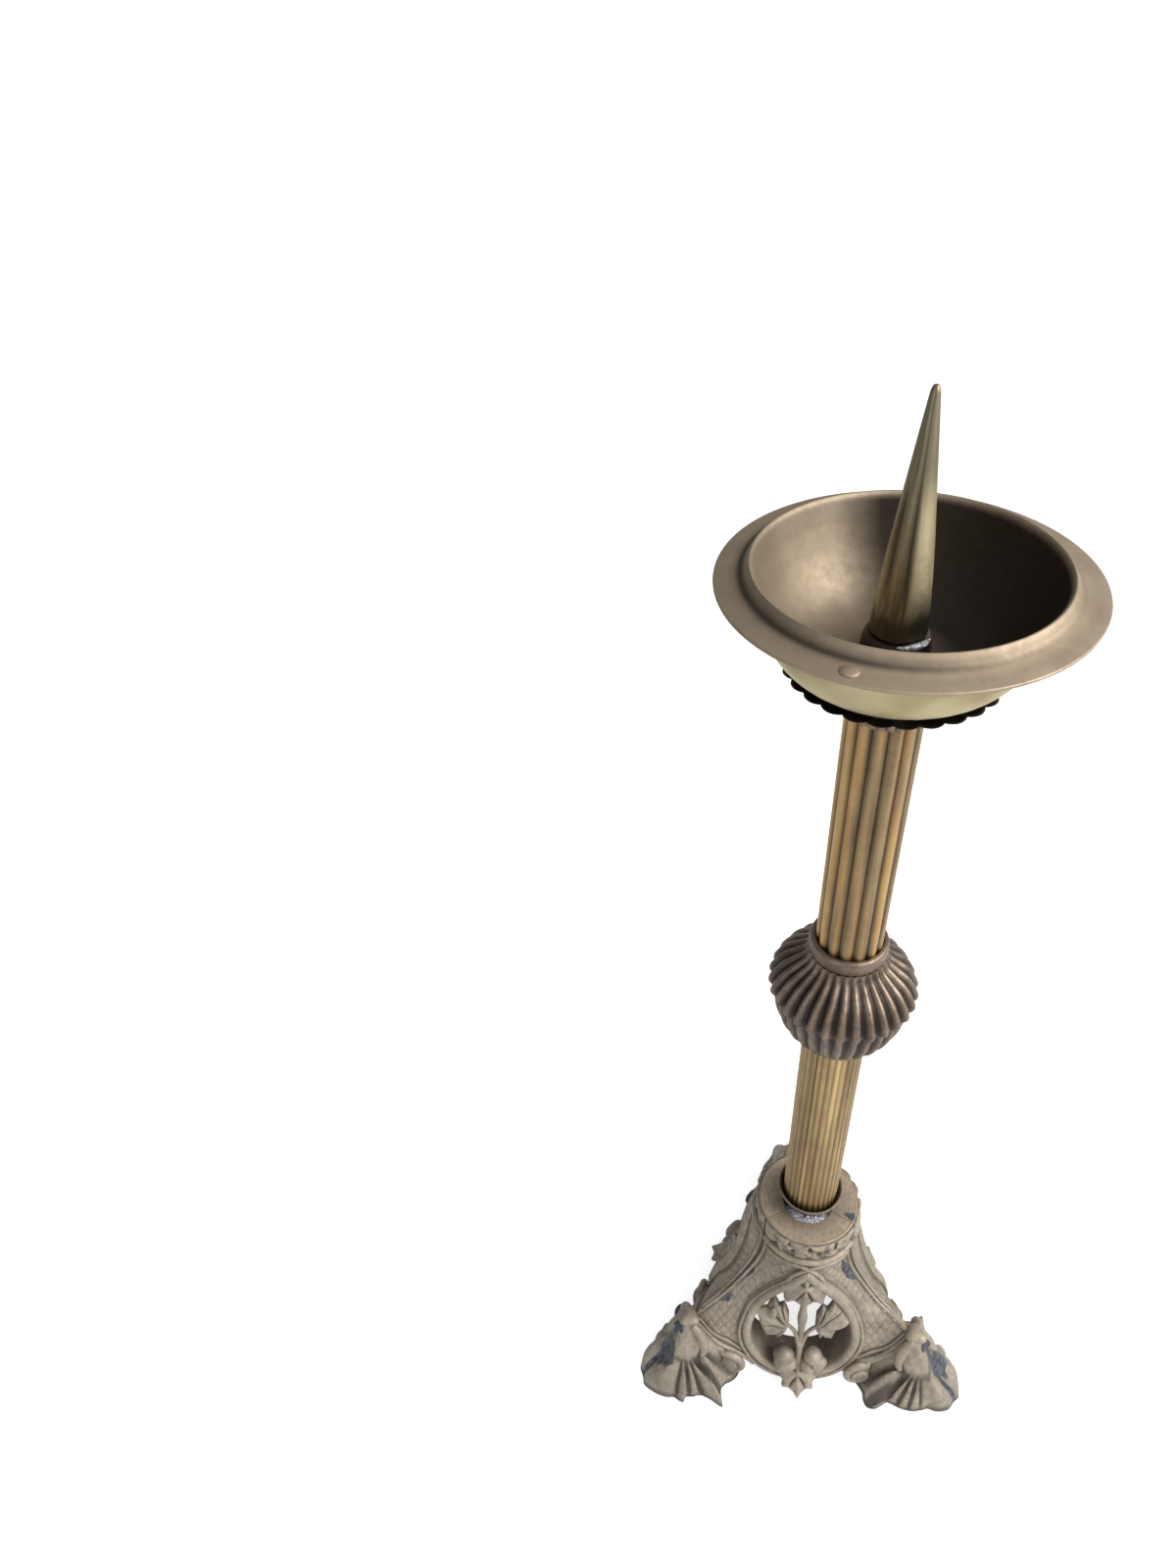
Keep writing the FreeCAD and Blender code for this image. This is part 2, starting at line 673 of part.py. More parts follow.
# Base: three castings, the solder over their seams, and the rod's nut and washer
casting = face_casting()
faces = []
for index, name in enumerate(FACES):
    piece = feature("base_face_" + name, casting)
    piece.Placement = Placement(Vector(0, 0, 0), Rotation(Vector(0, 0, 1), index * THIRD_TURN))
    faces.append(piece)

seam = solder_seam()
seams = []
for index in range(len(FACES)):
    turned = seam.copy()
    turned.rotate(Vector(0, 0, 0), Vector(0, 0, 1), index * THIRD_TURN)
    seams.append(turned)
corner_solder = feature("corner_solder", Part.makeCompound(seams))

base_washer = drilled_disc("base_washer", "washer_radius", "washer_thickness", None,
                           "base_height - plate_thickness - washer_thickness")

base_nut = new_body("base_nut")
hexagon = base_nut.newObject("PartDesign::AdditivePrism", "base_nut_hexagon")
hexagon.Polygon = 6
hexagon.setExpression("Circumradius", "sizes.nut_width / sqrt(3)")
hexagon.setExpression("Height", bound("nut_height"))
nut_bore = base_nut.newObject("PartDesign::Pocket", "base_nut_bore")
nut_bore.Profile = circles(base_nut, "base_nut_circle", ["rod_radius + rod_clearance"])
nut_bore.Type = 1
nut_bore.Reversed = True
seat(base_nut, base_washer, "0 - nut_height")

# Socket: a copper spacer on the plate, the solder round it and the flared cup
socket_spacer = new_body("socket_spacer")
spacer_bore = "rod_radius + rod_clearance"
revolve(socket_spacer, [
    (spacer_bore, "0"),
    ("spacer_radius", "0"),
    ("spacer_radius", "spacer_height - spacer_chamfer"),
    ("spacer_radius - spacer_chamfer", "spacer_height"),
    (spacer_bore, "spacer_height"),
])
seat(socket_spacer, None, "base_height")

socket_solder = new_body("socket_solder")
revolve(socket_solder, [
    ("spacer_radius", "0"),
    ("spacer_radius + solder_ring_width", "0"),
    ("spacer_radius", "solder_ring_height"),
])
seat(socket_solder, None, "base_height")

socket_cup = new_body("socket_cup")
cup_inside = "lower_tube_radius + cup_tube_gap"
revolve(socket_cup, [
    ("rod_radius + rod_clearance", "0"),
    ("cup_foot_radius", "0", "cup_round", -1),
    ("cup_rim_radius - cup_wall*0.5", "cup_round_height"),
    ("cup_rim_radius", "cup_height"),
    ("cup_rim_radius - cup_wall", "cup_height"),
    (cup_inside, "cup_floor"),
    ("rod_radius + rod_clearance", "cup_floor"),
])
seat(socket_cup, socket_spacer, "spacer_height")

# Lower tube, standing in the cup, with a disc in each end
lower_tube = fluted_tube("lower_tube", "lower_tube_radius", "lower_tube_length",
                         "flute_radius", "flute_count", socket_cup, "cup_floor")
lower_disc_radius = "lower_tube_radius - tube_wall - tube_seat_gap"
lower_foot_disc = drilled_disc("lower_tube_foot_disc", lower_disc_radius, "disc_thickness", lower_tube, "0")
lower_top_disc = drilled_disc("lower_tube_top_disc", lower_disc_radius, "disc_thickness", lower_tube,
                              "lower_tube_length - disc_thickness")

# Knop: two pleated half shells round a sleeve, closed by a plain collar
neck_depth = size["knop_rib_depth"] * KNOP_LOWER_SHARES[0][2]
lower_neck = size["lower_tube_radius"] + size["knop_neck_gap"] + size["sheet_thickness"] + neck_depth
knop_lower = feature("knop_lower_shell", pleated_shell(
    levels_from(KNOP_LOWER_SHARES, size["knop_lower_height"], lower_neck, size["knop_radius"],
                size["knop_rib_depth"]), size["knop_rib_count"], size["sheet_thickness"]))
seat(knop_lower, lower_tube, "lower_tube_length - knop_sink")

neck_depth = size["knop_rib_depth"] * KNOP_UPPER_SHARES[-1][2]
upper_neck = size["upper_tube_radius"] + size["knop_neck_gap"] + size["sheet_thickness"] + neck_depth
knop_upper = feature("knop_upper_shell", pleated_shell(
    levels_from(KNOP_UPPER_SHARES, size["knop_upper_height"], upper_neck, size["knop_radius"],
                size["knop_rib_depth"]), size["knop_rib_count"], size["sheet_thickness"]))
seat(knop_upper, knop_lower, "knop_lower_height")

knop_collar = new_body("knop_collar")
revolve(knop_collar, [
    ("upper_tube_radius + knop_neck_gap", "0"),
    ("collar_radius - collar_round", "0"),
    ("collar_radius", "collar_round"),
    ("collar_radius", "collar_height - collar_round", "collar_round", -1),
    ("collar_radius - collar_round", "collar_height"),
    ("upper_tube_radius + knop_neck_gap", "collar_height"),
])
seat(knop_collar, knop_upper, "knop_upper_height")

knop_sleeve = new_body("knop_sleeve")
pad(knop_sleeve, circles(knop_sleeve, "knop_sleeve_circles",
                         ["upper_tube_radius", "upper_tube_radius - sleeve_wall"]), "knop_sleeve_pad",
    "knop_lower_height + knop_upper_height + collar_height - tube_sink - knop_sink")
seat(knop_sleeve, lower_tube, "lower_tube_length")

# Upper tube, sunk into the collar and standing on the sleeve
upper_tube = fluted_tube("upper_tube", "upper_tube_radius", "upper_tube_length",
                         "reed_groove_radius", "reed_count", knop_collar, "collar_height - tube_sink")
upper_disc_radius = "upper_tube_radius - tube_wall - tube_seat_gap"
upper_foot_disc = drilled_disc("upper_tube_foot_disc", upper_disc_radius, "disc_thickness", upper_tube, "0")
upper_top_disc = drilled_disc("upper_tube_top_disc", upper_disc_radius, "disc_thickness", upper_tube,
                              "upper_tube_length - disc_thickness")

# Crown, and the turned support that carries the pan inside it
crown_cup = feature("crown_cup", pleated_shell(
    levels_from(CROWN_SHARES, size["crown_height"], size["crown_neck_radius"], size["crown_radius"],
                size["crown_pleat_depth"]), size["crown_pleat_count"], size["sheet_thickness"],
    size["crown_floor"]))
seat(crown_cup, upper_tube, "upper_tube_length")

pan_support = new_body("pan_support")
support_top = "pan_lift - crown_floor"
revolve(pan_support, [
    ("rod_radius + rod_clearance", "0"),
    ("support_foot_radius", "0"),
    ("support_waist_radius", "support_round*0.5"),
    ("support_waist_radius", support_top + " - support_head_height - support_round*0.5"),
    ("support_head_radius", support_top + " - support_head_height"),
    ("support_head_radius", support_top),
    ("rod_radius + rod_clearance", support_top),
])
seat(pan_support, crown_cup, "crown_floor")

# Drip pan: a bowl with a raised lip and a sloping flange, drilled for the rod and rivet
drip_pan = new_body("drip_pan")
flange_foot = "pan_lip_radius + pan_lip_width*0.5"
pan_section = revolve(drip_pan, [
    ("rod_radius + rod_clearance", "0"),
    ("pan_floor_radius", "0", "pan_outer_round", -1),
    ("pan_lip_radius - pan_lip_width*0.3", "pan_rim_height - pan_rim_thickness*0.5"),
    ("pan_radius - pan_rim_thickness*0.3", "pan_rim_height - pan_rim_thickness*0.5",
     "pan_rim_thickness*0.55", -1),
    ("pan_radius - pan_rim_thickness*0.3", "pan_rim_height + pan_rim_thickness*0.5"),
    (flange_foot, "pan_rim_height + pan_rim_thickness*0.5 + pan_flange_rise*0.6"),
    (flange_foot, "pan_lip_height - pan_lip_width*0.33", "pan_lip_width*0.55", -1),
    ("pan_lip_radius - pan_lip_width*0.5", "pan_lip_height - pan_lip_width*0.33"),
    ("pan_lip_radius - pan_lip_width", "pan_straight_height", "pan_inner_round", 1),
    ("pan_floor_radius", "pan_wall"),
    ("rod_radius + rod_clearance", "pan_wall"),
])
doc.recompute()
undrilled = pan_section.Shape.Volume
rivet_hole = drip_pan.newObject("PartDesign::Pocket", "drip_pan_rivet_hole")
hole_sketch = new_sketch(drip_pan, "drip_pan_rivet_circle", "XY_Plane")


def rivet_circle(sketch, radius):
    """A circle at the rivet's place on the flange."""
    turn = math.radians(RIVET_TURN)
    place = Vector(size["rivet_reach"] * math.cos(turn), size["rivet_reach"] * math.sin(turn), 0)
    sketch.addGeometry(Part.Circle(place, Vector(0, 0, 1), amount(radius)), False)
    for kind, wave in (("DistanceX", "cos"), ("DistanceY", "sin")):
        reach = place.x if wave == "cos" else place.y
        held = sketch.addConstraint(Sketcher.Constraint(kind, -1, 1, 0, 3, reach))
        sketch.setExpression("Constraints[%d]" % held, "sizes.rivet_reach * %s(%s deg)" % (wave, RIVET_TURN))
    held = sketch.addConstraint(Sketcher.Constraint("Radius", 0, amount(radius)))
    sketch.setExpression("Constraints[%d]" % held, bound(radius))
    return sketch


rivet_hole.Profile = rivet_circle(hole_sketch, "rivet_radius + rivet_clearance")
rivet_hole.Type = 1
rivet_hole.Reversed = True
drip_pan.Tip = rivet_hole
seat(drip_pan, crown_cup, "pan_lift")

pan_rivet = new_body("pan_rivet")
pad(pan_rivet, rivet_circle(new_sketch(pan_rivet, "pan_rivet_circle", "XY_Plane"), "rivet_radius"),
    "pan_rivet_pad", "pan_rim_thickness + pan_flange_rise*0.4 + rivet_rise")
seat(pan_rivet, drip_pan, "pan_rim_height - pan_rim_thickness*0.5")

# Pricket on its collar, screwed down on the rod
pricket_collar = new_body("pricket_collar")
revolve(pricket_collar, [
    ("rod_radius + rod_clearance", "0"),
    ("pricket_collar_radius", "0"),
    ("pricket_collar_radius", "pricket_collar_height - rod_chamfer"),
    ("pricket_collar_radius - rod_chamfer", "pricket_collar_height"),
    ("rod_radius + rod_clearance", "pricket_collar_height"),
])
seat(pricket_collar, drip_pan, "pan_wall")

pricket = new_body("pricket")
revolve(pricket, [
    ("rod_radius + rod_clearance", "0"),
    ("pricket_radius", "0"),
    ("pricket_tip_radius", "pricket_length - pricket_tip_radius"),
    ("pricket_tip_radius*0.4", "pricket_length"),
    ("0", "pricket_length"),
    ("0", "rod_bite"),
    ("rod_radius + rod_clearance", "rod_bite"),
])
seat(pricket, pricket_collar, "pricket_collar_height")

tie_rod = new_body("tie_rod")
rod_pad = pad(tie_rod, circles(tie_rod, "tie_rod_circle", ["rod_radius"]), "tie_rod_pad", "rod_bite")
rod_pad.setExpression("Length", "pricket.Placement.Base.z - base_nut.Placement.Base.z "
                                "+ 1 mm * (%s)" % bound("rod_bite + rod_tail - tube_seat_gap"))
seat(tie_rod, base_nut, "0 - rod_tail")
doc.recompute()
rod_ends = tie_rod.newObject("PartDesign::Chamfer", "tie_rod_ends")
rod_ends.Base = (rod_pad, ["Edge%d" % (number + 1) for number, edge in enumerate(rod_pad.Shape.Edges)
                           if edge.Curve.TypeId == "Part::GeomCircle"])
rod_ends.setExpression("Size", bound("rod_chamfer"))
tie_rod.Tip = rod_ends

# Everything is checked before anything is written
doc.recompute()
for item in doc.Objects:
    if "Invalid" in item.State or "Error" in item.State:
        raise ValueError("%s did not build: %s" % (item.Label, item.State))
if not drip_pan.Shape.Volume < undrilled:
    raise ValueError("drip_pan: the rivet hole cuts nothing")
pieces = [item for item in doc.Objects
          if item.TypeId == "PartDesign::Body" or item.TypeId == "Part::Feature"]
for piece in pieces:
    if piece.Shape.isNull() or not piece.Shape.isValid() or not piece.Shape.Solids:
        raise ValueError(piece.Label + " has no sound solid")

os.makedirs("parts", exist_ok=True)
for piece in pieces:
    piece.Shape.exportStep("parts/%s.step" % piece.Label)
    box = piece.Shape.BoundBox
    print("%-22s solids %d  z %.1f to %.1f  volume %.0f"
          % (piece.Label, len(piece.Shape.Solids), box.ZMin, box.ZMax, piece.Shape.Volume))
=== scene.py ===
"""A brass pricket candle stand: three cast openwork faces on leafy feet, a fluted column with a
pleated knop, a drip pan and a spike. Sizes are in millimetres unless a name says otherwise."""

import math

import bpy
import numpy as np
from mathutils import Matrix, Vector


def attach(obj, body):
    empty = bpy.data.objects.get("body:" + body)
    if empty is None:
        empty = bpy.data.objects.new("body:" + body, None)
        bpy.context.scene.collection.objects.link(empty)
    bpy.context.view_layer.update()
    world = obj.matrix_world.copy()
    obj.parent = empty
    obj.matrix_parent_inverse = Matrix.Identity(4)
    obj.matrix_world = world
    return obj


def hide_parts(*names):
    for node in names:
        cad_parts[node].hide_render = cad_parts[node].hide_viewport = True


MM = 0.001
THIRD = math.radians(120)
NO_TRIS = np.zeros((0, 3), int)
BACK_MARK = 0.6  # every mark's value on the unseen back of a carved plate

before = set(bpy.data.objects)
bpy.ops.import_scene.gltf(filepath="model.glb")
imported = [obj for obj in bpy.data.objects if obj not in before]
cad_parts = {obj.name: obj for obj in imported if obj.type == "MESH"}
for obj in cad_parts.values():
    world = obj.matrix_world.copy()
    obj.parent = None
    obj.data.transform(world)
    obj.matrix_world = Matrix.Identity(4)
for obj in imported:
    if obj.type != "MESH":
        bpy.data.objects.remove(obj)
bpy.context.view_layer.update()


# Meshes

def mesh_of(name, points, quads, tris, marks):
    """A mesh from points in millimetres, rows of four and of three point numbers, and one
    value per point for each named mark."""
    mesh = bpy.data.meshes.new(name)
    mesh.vertices.add(len(points))
    mesh.vertices.foreach_set("co", (np.asarray(points) * MM).astype(np.float32).ravel())
    quads = np.asarray(quads, dtype=np.int32).reshape(-1, 4)
    tris = np.asarray(tris, dtype=np.int32).reshape(-1, 3)
    corners = np.concatenate([quads.ravel(), tris.ravel()])
    sizes = np.concatenate([np.full(len(quads), 4), np.full(len(tris), 3)])
    mesh.loops.add(len(corners))
    mesh.loops.foreach_set("vertex_index", corners.astype(np.int32))
    mesh.polygons.add(len(sizes))
    mesh.polygons.foreach_set("loop_start", (np.cumsum(sizes) - sizes).astype(np.int32))
    mesh.update(calc_edges=True)
    mesh.validate()
    for key, values in marks.items():
        layer = mesh.attributes.new(key, "FLOAT", "POINT")
        layer.data.foreach_set("value", np.asarray(values, dtype=np.float32))
    mesh.shade_smooth()
    return mesh


def placed(name, data):
    """An object in the scene for a mesh, a light or a camera."""
    made = bpy.data.objects.new(name, data)
    bpy.context.scene.collection.objects.link(made)
    return made


def show(name, part, material, nodes=(), crease=50, slot=None):
    """A finished piece of the stand, from (points, quads, tris, marks): its material, the CAD nodes
    it stands for and the angle over which an edge stays sharp. Its slot, named as the material less
    the number that Blender adds unless it is given, is worked out but not used."""
    slot = slot or material.name.split(".")[0]
    mesh = mesh_of(name, *part)
    mesh.set_sharp_from_angle(angle=math.radians(crease))
    mesh.materials.append(material)
    piece = placed(name, mesh)
    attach(piece, "root")
    if nodes:
        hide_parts(*nodes)


def joined(parts):
    """Several (points, quads, tris, marks) as one, each part's point numbers moved past the last."""
    points, quads, tris, marks, start = [], [], [], {}, 0
    for part_points, part_quads, part_tris, part_marks in parts:
        points.append(part_points)
        quads.append(np.asarray(part_quads, dtype=np.int64).reshape(-1, 4) + start)
        tris.append(np.asarray(part_tris, dtype=np.int64).reshape(-1, 3) + start)
        for key, values in part_marks.items():
            marks.setdefault(key, []).append(values)
        start += len(part_points)
    return (np.vstack(points), np.vstack(quads), np.vstack(tris),
            {key: np.concatenate(values) for key, values in marks.items()})


def ring_quads(rows, columns, close_rows, close_columns):
    """Rows of quads over a grid of points numbered row by row; a closed way joins its last line
    to its first."""
    i = np.arange(rows if close_rows else rows - 1)[:, None]
    j = np.arange(columns if close_columns else columns - 1)[None, :]
    a = i * columns + j
    b = i * columns + (j + 1) % columns
    c = ((i + 1) % rows) * columns + (j + 1) % columns
    d = ((i + 1) % rows) * columns + j
    return np.stack([a, b, c, d], -1).reshape(-1, 4)


def rounded(corners, reach, steps=5, closed=True):
    """A line of corners with each bend eased: the corner B between A and C becomes the curve
    (1-t)^2 P + 2t(1-t) B + t^2 Q, where P and Q lie reach away from B towards A and C."""
    corners = [np.array(c, float) for c in corners]
    count = len(corners)
    reaches = reach if isinstance(reach, (list, tuple)) else [reach] * count
    out = []
    for k, here in enumerate(corners):
        if not closed and k in (0, count - 1):
            out.append(here)
            continue
        before, after = corners[k - 1], corners[(k + 1) % count]
        back, ahead = np.linalg.norm(before - here), np.linalg.norm(after - here)
        start = here + (before - here) * min(reaches[k] / back, 0.48)
        end = here + (after - here) * min(reaches[k] / ahead, 0.48)
        for t in np.linspace(0, 1, steps):
            out.append((1 - t) ** 2 * start + 2 * t * (1 - t) * here + t ** 2 * end)
    return np.array(out)


def full_turn(count):
    """So many angles, evenly round a circle."""
    return np.arange(count) * 2 * np.pi / count


def caps(rows, columns, foot, top):
    """Fans of triangles that close so many rows of points: from the single point numbered foot to
    the first row and from the one numbered top to the last."""
    j = np.arange(columns)
    after = (j + 1) % columns
    last = (rows - 1) * columns
    return np.vstack([np.stack([np.full(columns, foot), after, j], -1),
                      np.stack([np.full(columns, top), last + j, last + after], -1)])


def spun(profile, turns, ribs=None, closed=True):
    """A surface turned round the axis: the profile's (radius, height) at every angle, where
    ribs(angle, row) adds to radius and height. A closed profile runs counter-clockwise; an open
    one starts and ends on the axis, where its ends are single points."""
    angles = full_turn(turns)
    body = profile if closed else profile[1:-1]
    radius = np.repeat(body[:, :1], turns, 1)
    height = np.repeat(body[:, 1:2], turns, 1)
    if ribs is not None:
        add_radius, add_height = ribs(angles[None, :], np.arange(len(body))[:, None])
        radius, height = radius + add_radius, height + add_height
    points = np.stack([radius * np.cos(angles), radius * np.sin(angles), height], -1).reshape(-1, 3)
    tris = NO_TRIS
    if not closed:
        tris = caps(len(body), turns, len(points), len(points) + 1)
        points = np.vstack([points, [[0, 0, profile[0][1]], [0, 0, profile[-1][1]]]])
    return points, ring_quads(len(body), turns, closed, True), tris


def turned(x, y, z, turn):
    """Points turned round the axis by an angle in radians."""
    c, s = math.cos(turn), math.sin(turn)
    return np.stack([c * x - s * y, s * x + c * y, z], -1)


def bearing(points):
    """Each point's angle round the axis, in degrees."""
    return np.degrees(np.arctan2(points[:, 1], points[:, 0]))


def off_axis(points):
    """Each point's distance from the axis."""
    return np.hypot(points[:, 0], points[:, 1])


def unit(values):
    """The values held between 0 and 1."""
    return np.clip(values, 0, 1)


def hump(distance, half):
    """A soft hump of height 1: exp(-(distance/half)^2)."""
    return np.exp(-(distance / half) ** 2)


def spline(table, at):
    """A smooth line through a table of (value, place) rows, read at each place: between two rows
    the cubic Hermite curve whose slopes at a row are those of the chord over its neighbours."""
    table = sorted(table, key=lambda row: row[1])
    y = np.array([row[0] for row in table], float)
    x = np.array([row[1] for row in table], float)
    slope = np.gradient(y, x)
    at = np.clip(at, x[0], x[-1])
    k = np.clip(np.searchsorted(x, at) - 1, 0, len(x) - 2)
    span = x[k + 1] - x[k]
    t = (at - x[k]) / span
    return ((2 * t ** 3 - 3 * t ** 2 + 1) * y[k] + (t ** 3 - 2 * t ** 2 + t) * span * slope[k]
            + (3 * t ** 2 - 2 * t ** 3) * y[k + 1] + (t ** 3 - t ** 2) * span * slope[k + 1])


# Distances in a plane

def to_line(across, up, path):
    """The least distance from each place to a line of straight pieces."""
    path = np.asarray(path, float)
    least = np.full(across.shape, 1e9)
    for (ax, ay), (bx, by) in zip(path[:-1], path[1:]):
        dx, dy = bx - ax, by - ay
        t = unit(((across - ax) * dx + (up - ay) * dy) / (dx * dx + dy * dy))
        least = np.minimum(least, np.hypot(across - ax - t * dx, up - ay - t * dy))
    return least


def inside(across, up, outline):
    """The distance to a closed outline, positive inside it: a place is inside when a level line
    from it crosses the outline an odd number of times."""
    outline = np.asarray(outline, float)
    ring = np.vstack([outline, outline[:1]])
    odd = np.zeros(across.shape, bool)
    for (ax, ay), (bx, by) in zip(ring[:-1], ring[1:]):
        if ay != by:
            cross = (ay > up) != (by > up)
            odd ^= cross & (across < (bx - ax) * (up - ay) / (by - ay) + ax)
    return np.where(odd, 1, -1) * to_line(across, up, ring)


def roll(distance, half, height):
    """A round moulding: height * sqrt(1 - (distance/half)^2), and nothing past half."""
    return height * np.sqrt(unit(1 - (distance / half) ** 2))


def blurred(values, reach):
    """The mean of each value's square neighbourhood, as two running means one after the other."""
    for axis in (0, 1):
        pad = [(0, 0), (0, 0)]
        pad[axis] = (reach + 1, reach)
        total = np.cumsum(np.pad(values, pad, mode="edge"), axis)
        size = values.shape[axis]
        high = np.take(total, np.arange(2 * reach + 1, 2 * reach + 1 + size), axis)
        low = np.take(total, np.arange(0, size), axis)
        values = (high - low) / (2 * reach + 1)
    return values


def lumps(across, up, size, seed):
    """Smooth random lumps between -1 and 1: random values on a grid of the given size, blended
    between grid places with t*t*(3-2t)."""
    table = np.random.default_rng(seed).uniform(-1, 1, (64, 64))
    x, y = across / size + 500, up / size + 500
    i, j = np.floor(x).astype(int), np.floor(y).astype(int)
    u, v = x - i, y - j
    u, v = u * u * (3 - 2 * u), v * v * (3 - 2 * v)
    corner = lambda a, b: table[(i + a) % 64, (j + b) % 64]
    return ((corner(0, 0) * (1 - u) + corner(1, 0) * u) * (1 - v)
            + (corner(0, 1) * (1 - u) + corner(1, 1) * u) * v)


# Plates cut to an outline and carved on the front

def carved(across, up, within, front, back, marks, place):
    """A plate over a grid: kept where within > 0 and cut along within = 0, where each grid edge is
    split at a/(a-b) of its length. Its front and back stand at their own depths, and a wall joins
    them round every edge. place(across, up, depth) gives the point in space."""
    rows, columns = within.shape
    within = np.where(np.abs(within) < 1e-6, 1e-6, within)
    keep = within > 0
    number = -np.ones((rows, columns), int)
    number[keep] = np.arange(keep.sum())
    fields = [across, up, front, back] + [marks[key] for key in sorted(marks)]
    table = [np.stack([f[keep] for f in fields], -1)]
    total = int(keep.sum())
    cuts = {}
    for step in ((0, 1), (1, 0)):
        a = within[:rows - step[0], :columns - step[1]]
        b = within[step[0]:, step[1]:]
        i, j = np.nonzero((a > 0) != (b > 0))
        t = a[i, j] / (a[i, j] - b[i, j])
        rows_of = [f[i, j] * (1 - t) + f[i + step[0], j + step[1]] * t for f in fields]
        table.append(np.stack(rows_of, -1))
        grid = -np.ones(a.shape, int)
        grid[i, j] = total + np.arange(len(i))
        total += len(i)
        cuts[step] = grid
    table = np.vstack(table)
    quads, tris, rims = [], [], []
    level, rise = cuts[(0, 1)], cuts[(1, 0)]
    inner = (keep[:-1, :-1] * 1 + keep[:-1, 1:] * 2 + keep[1:, 1:] * 4 + keep[1:, :-1] * 8)
    for case in range(1, 16):
        i, j = np.nonzero(inner == case)
        if not len(i):
            continue
        corner = [number[i, j], number[i, j + 1], number[i + 1, j + 1], number[i + 1, j]]
        edge = [level[i, j], rise[i, j + 1], level[i + 1, j], rise[i, j]]
        if case == 15:
            quads.append(np.stack(corner, -1))
            continue
        on = [bool(case & (1 << k)) for k in range(4)]
        loop, ends = [], []
        for k in range(4):
            if on[k]:
                loop.append(corner[k])
            if on[k] != on[(k + 1) % 4]:
                ends.append((len(loop), on[k]))
                loop.append(edge[k])
        leave = next(at for at, was_on in ends if was_on)
        enter = next(at for at, was_on in ends if not was_on)
        rims.append(np.stack([loop[leave], loop[enter]], -1))
        if len(loop) == 4:
            quads.append(np.stack(loop, -1))
        else:
            tris += [np.stack([loop[0], loop[k], loop[k + 1]], -1) for k in range(1, len(loop) - 1)]
    quads = np.vstack(quads)
    tris = np.vstack(tris)
    rims = np.vstack(rims)
    points = np.vstack([place(table[:, 0], table[:, 1], table[:, depth]) for depth in (2, 3)])
    walls = np.stack([rims[:, 0], rims[:, 0] + total, rims[:, 1] + total, rims[:, 1]], -1)
    both = {key: np.concatenate([table[:, 4 + k], np.full(total, BACK_MARK)])
            for k, key in enumerate(sorted(marks))}
    return (points, np.vstack([quads, quads[:, ::-1] + total, walls]),
            np.vstack([tris, tris[:, ::-1] + total]), both)


def sweep(line, ahead, side, radius, sides, closed=False, seed=None):
    """A round bar along a line: at each point a circle of its radius through the directions side
    and side x ahead, in each of its corners larger or smaller by a random quarter at most if there
    is a seed. The ends of an open bar close on a single point half a radius further on."""
    over = np.cross(side, ahead)
    angle = full_turn(sides)
    circle = (np.cos(angle)[None, :, None] * side[:, None, :]
              + np.sin(angle)[None, :, None] * over[:, None, :])
    grown = radius[:, None]
    if seed is not None:
        grown = grown * np.random.default_rng(seed).uniform(0.75, 1.25, (len(line), sides))
    points = (line[:, None, :] + grown[:, :, None] * circle).reshape(-1, 3)
    quads, tris = ring_quads(len(line), sides, closed, True), NO_TRIS
    if not closed:
        tris = caps(len(line), sides, len(points), len(points) + 1)
        points = np.vstack([points, line[:1] - ahead[:1] * radius[0] * 0.5,
                            line[-1:] + ahead[-1:] * radius[-1] * 0.5])
    return points, quads[:, ::-1], tris[:, ::-1]


def cable(path, radius, sides=12, seed=None):
    """A round bar along a line in space, whose circles are carried along it without a twist: each
    one's side is the last one's, less its part along the line."""
    path = np.asarray(path, float)
    ahead = np.gradient(path, axis=0)
    ahead /= np.linalg.norm(ahead, axis=1)[:, None]
    first = np.cross(ahead[0], [0.0, 0.0, 1.0] if abs(ahead[0][2]) < 0.8 else [0.0, 1.0, 0.0])
    side = [first / np.linalg.norm(first)]
    for way in ahead[1:]:
        carried = side[-1] - way * (side[-1] @ way)
        side.append(carried / np.linalg.norm(carried))
    return sweep(path, ahead, np.array(side), radius, sides, seed=seed)


def curve_through(points, count):
    """A smooth line through a few points: each coordinate is a spline over the length so far."""
    points = np.asarray(points, float)
    gone = np.concatenate([[0], np.cumsum(np.linalg.norm(np.diff(points, axis=0), axis=1))])
    at = np.linspace(0, gone[-1], count)
    return np.stack([spline(list(zip(points[:, k], gone)), at) for k in range(points.shape[1])], -1)


# Materials

def node(tree, kind, links=None, **values):
    """A node with its settings; links gives each input a value or another node's output."""
    made = tree.nodes.new(kind)
    for key, value in values.items():
        setattr(made, key, value)
    for key, source in (links or {}).items():
        socket = made.inputs[key]
        if hasattr(source, "is_output"):
            tree.links.new(source, socket)
        else:
            socket.default_value = source
    return made


def math_node(tree, operation, a, b, clamp=False):
    return node(tree, "ShaderNodeMath", {0: a, 1: b}, operation=operation, use_clamp=clamp).outputs[0]


def blend_node(tree, factor, a, b):
    return node(tree, "ShaderNodeMix", {0: factor, 6: a, 7: b}, data_type="RGBA").outputs[2]


def range_node(tree, value, low, high, to_low=0.0, to_high=1.0):
    return node(tree, "ShaderNodeMapRange", {0: value, 1: low, 2: high, 3: to_low, 4: to_high}).outputs[0]


def noise_node(tree, place, scale, detail, roughness=0.5):
    return node(tree, "ShaderNodeTexNoise", {"Vector": place, "Scale": scale, "Detail": detail,
                                             "Roughness": roughness}).outputs[0]


def mark_node(tree, name):
    return node(tree, "ShaderNodeAttribute", attribute_name=name).outputs["Fac"]


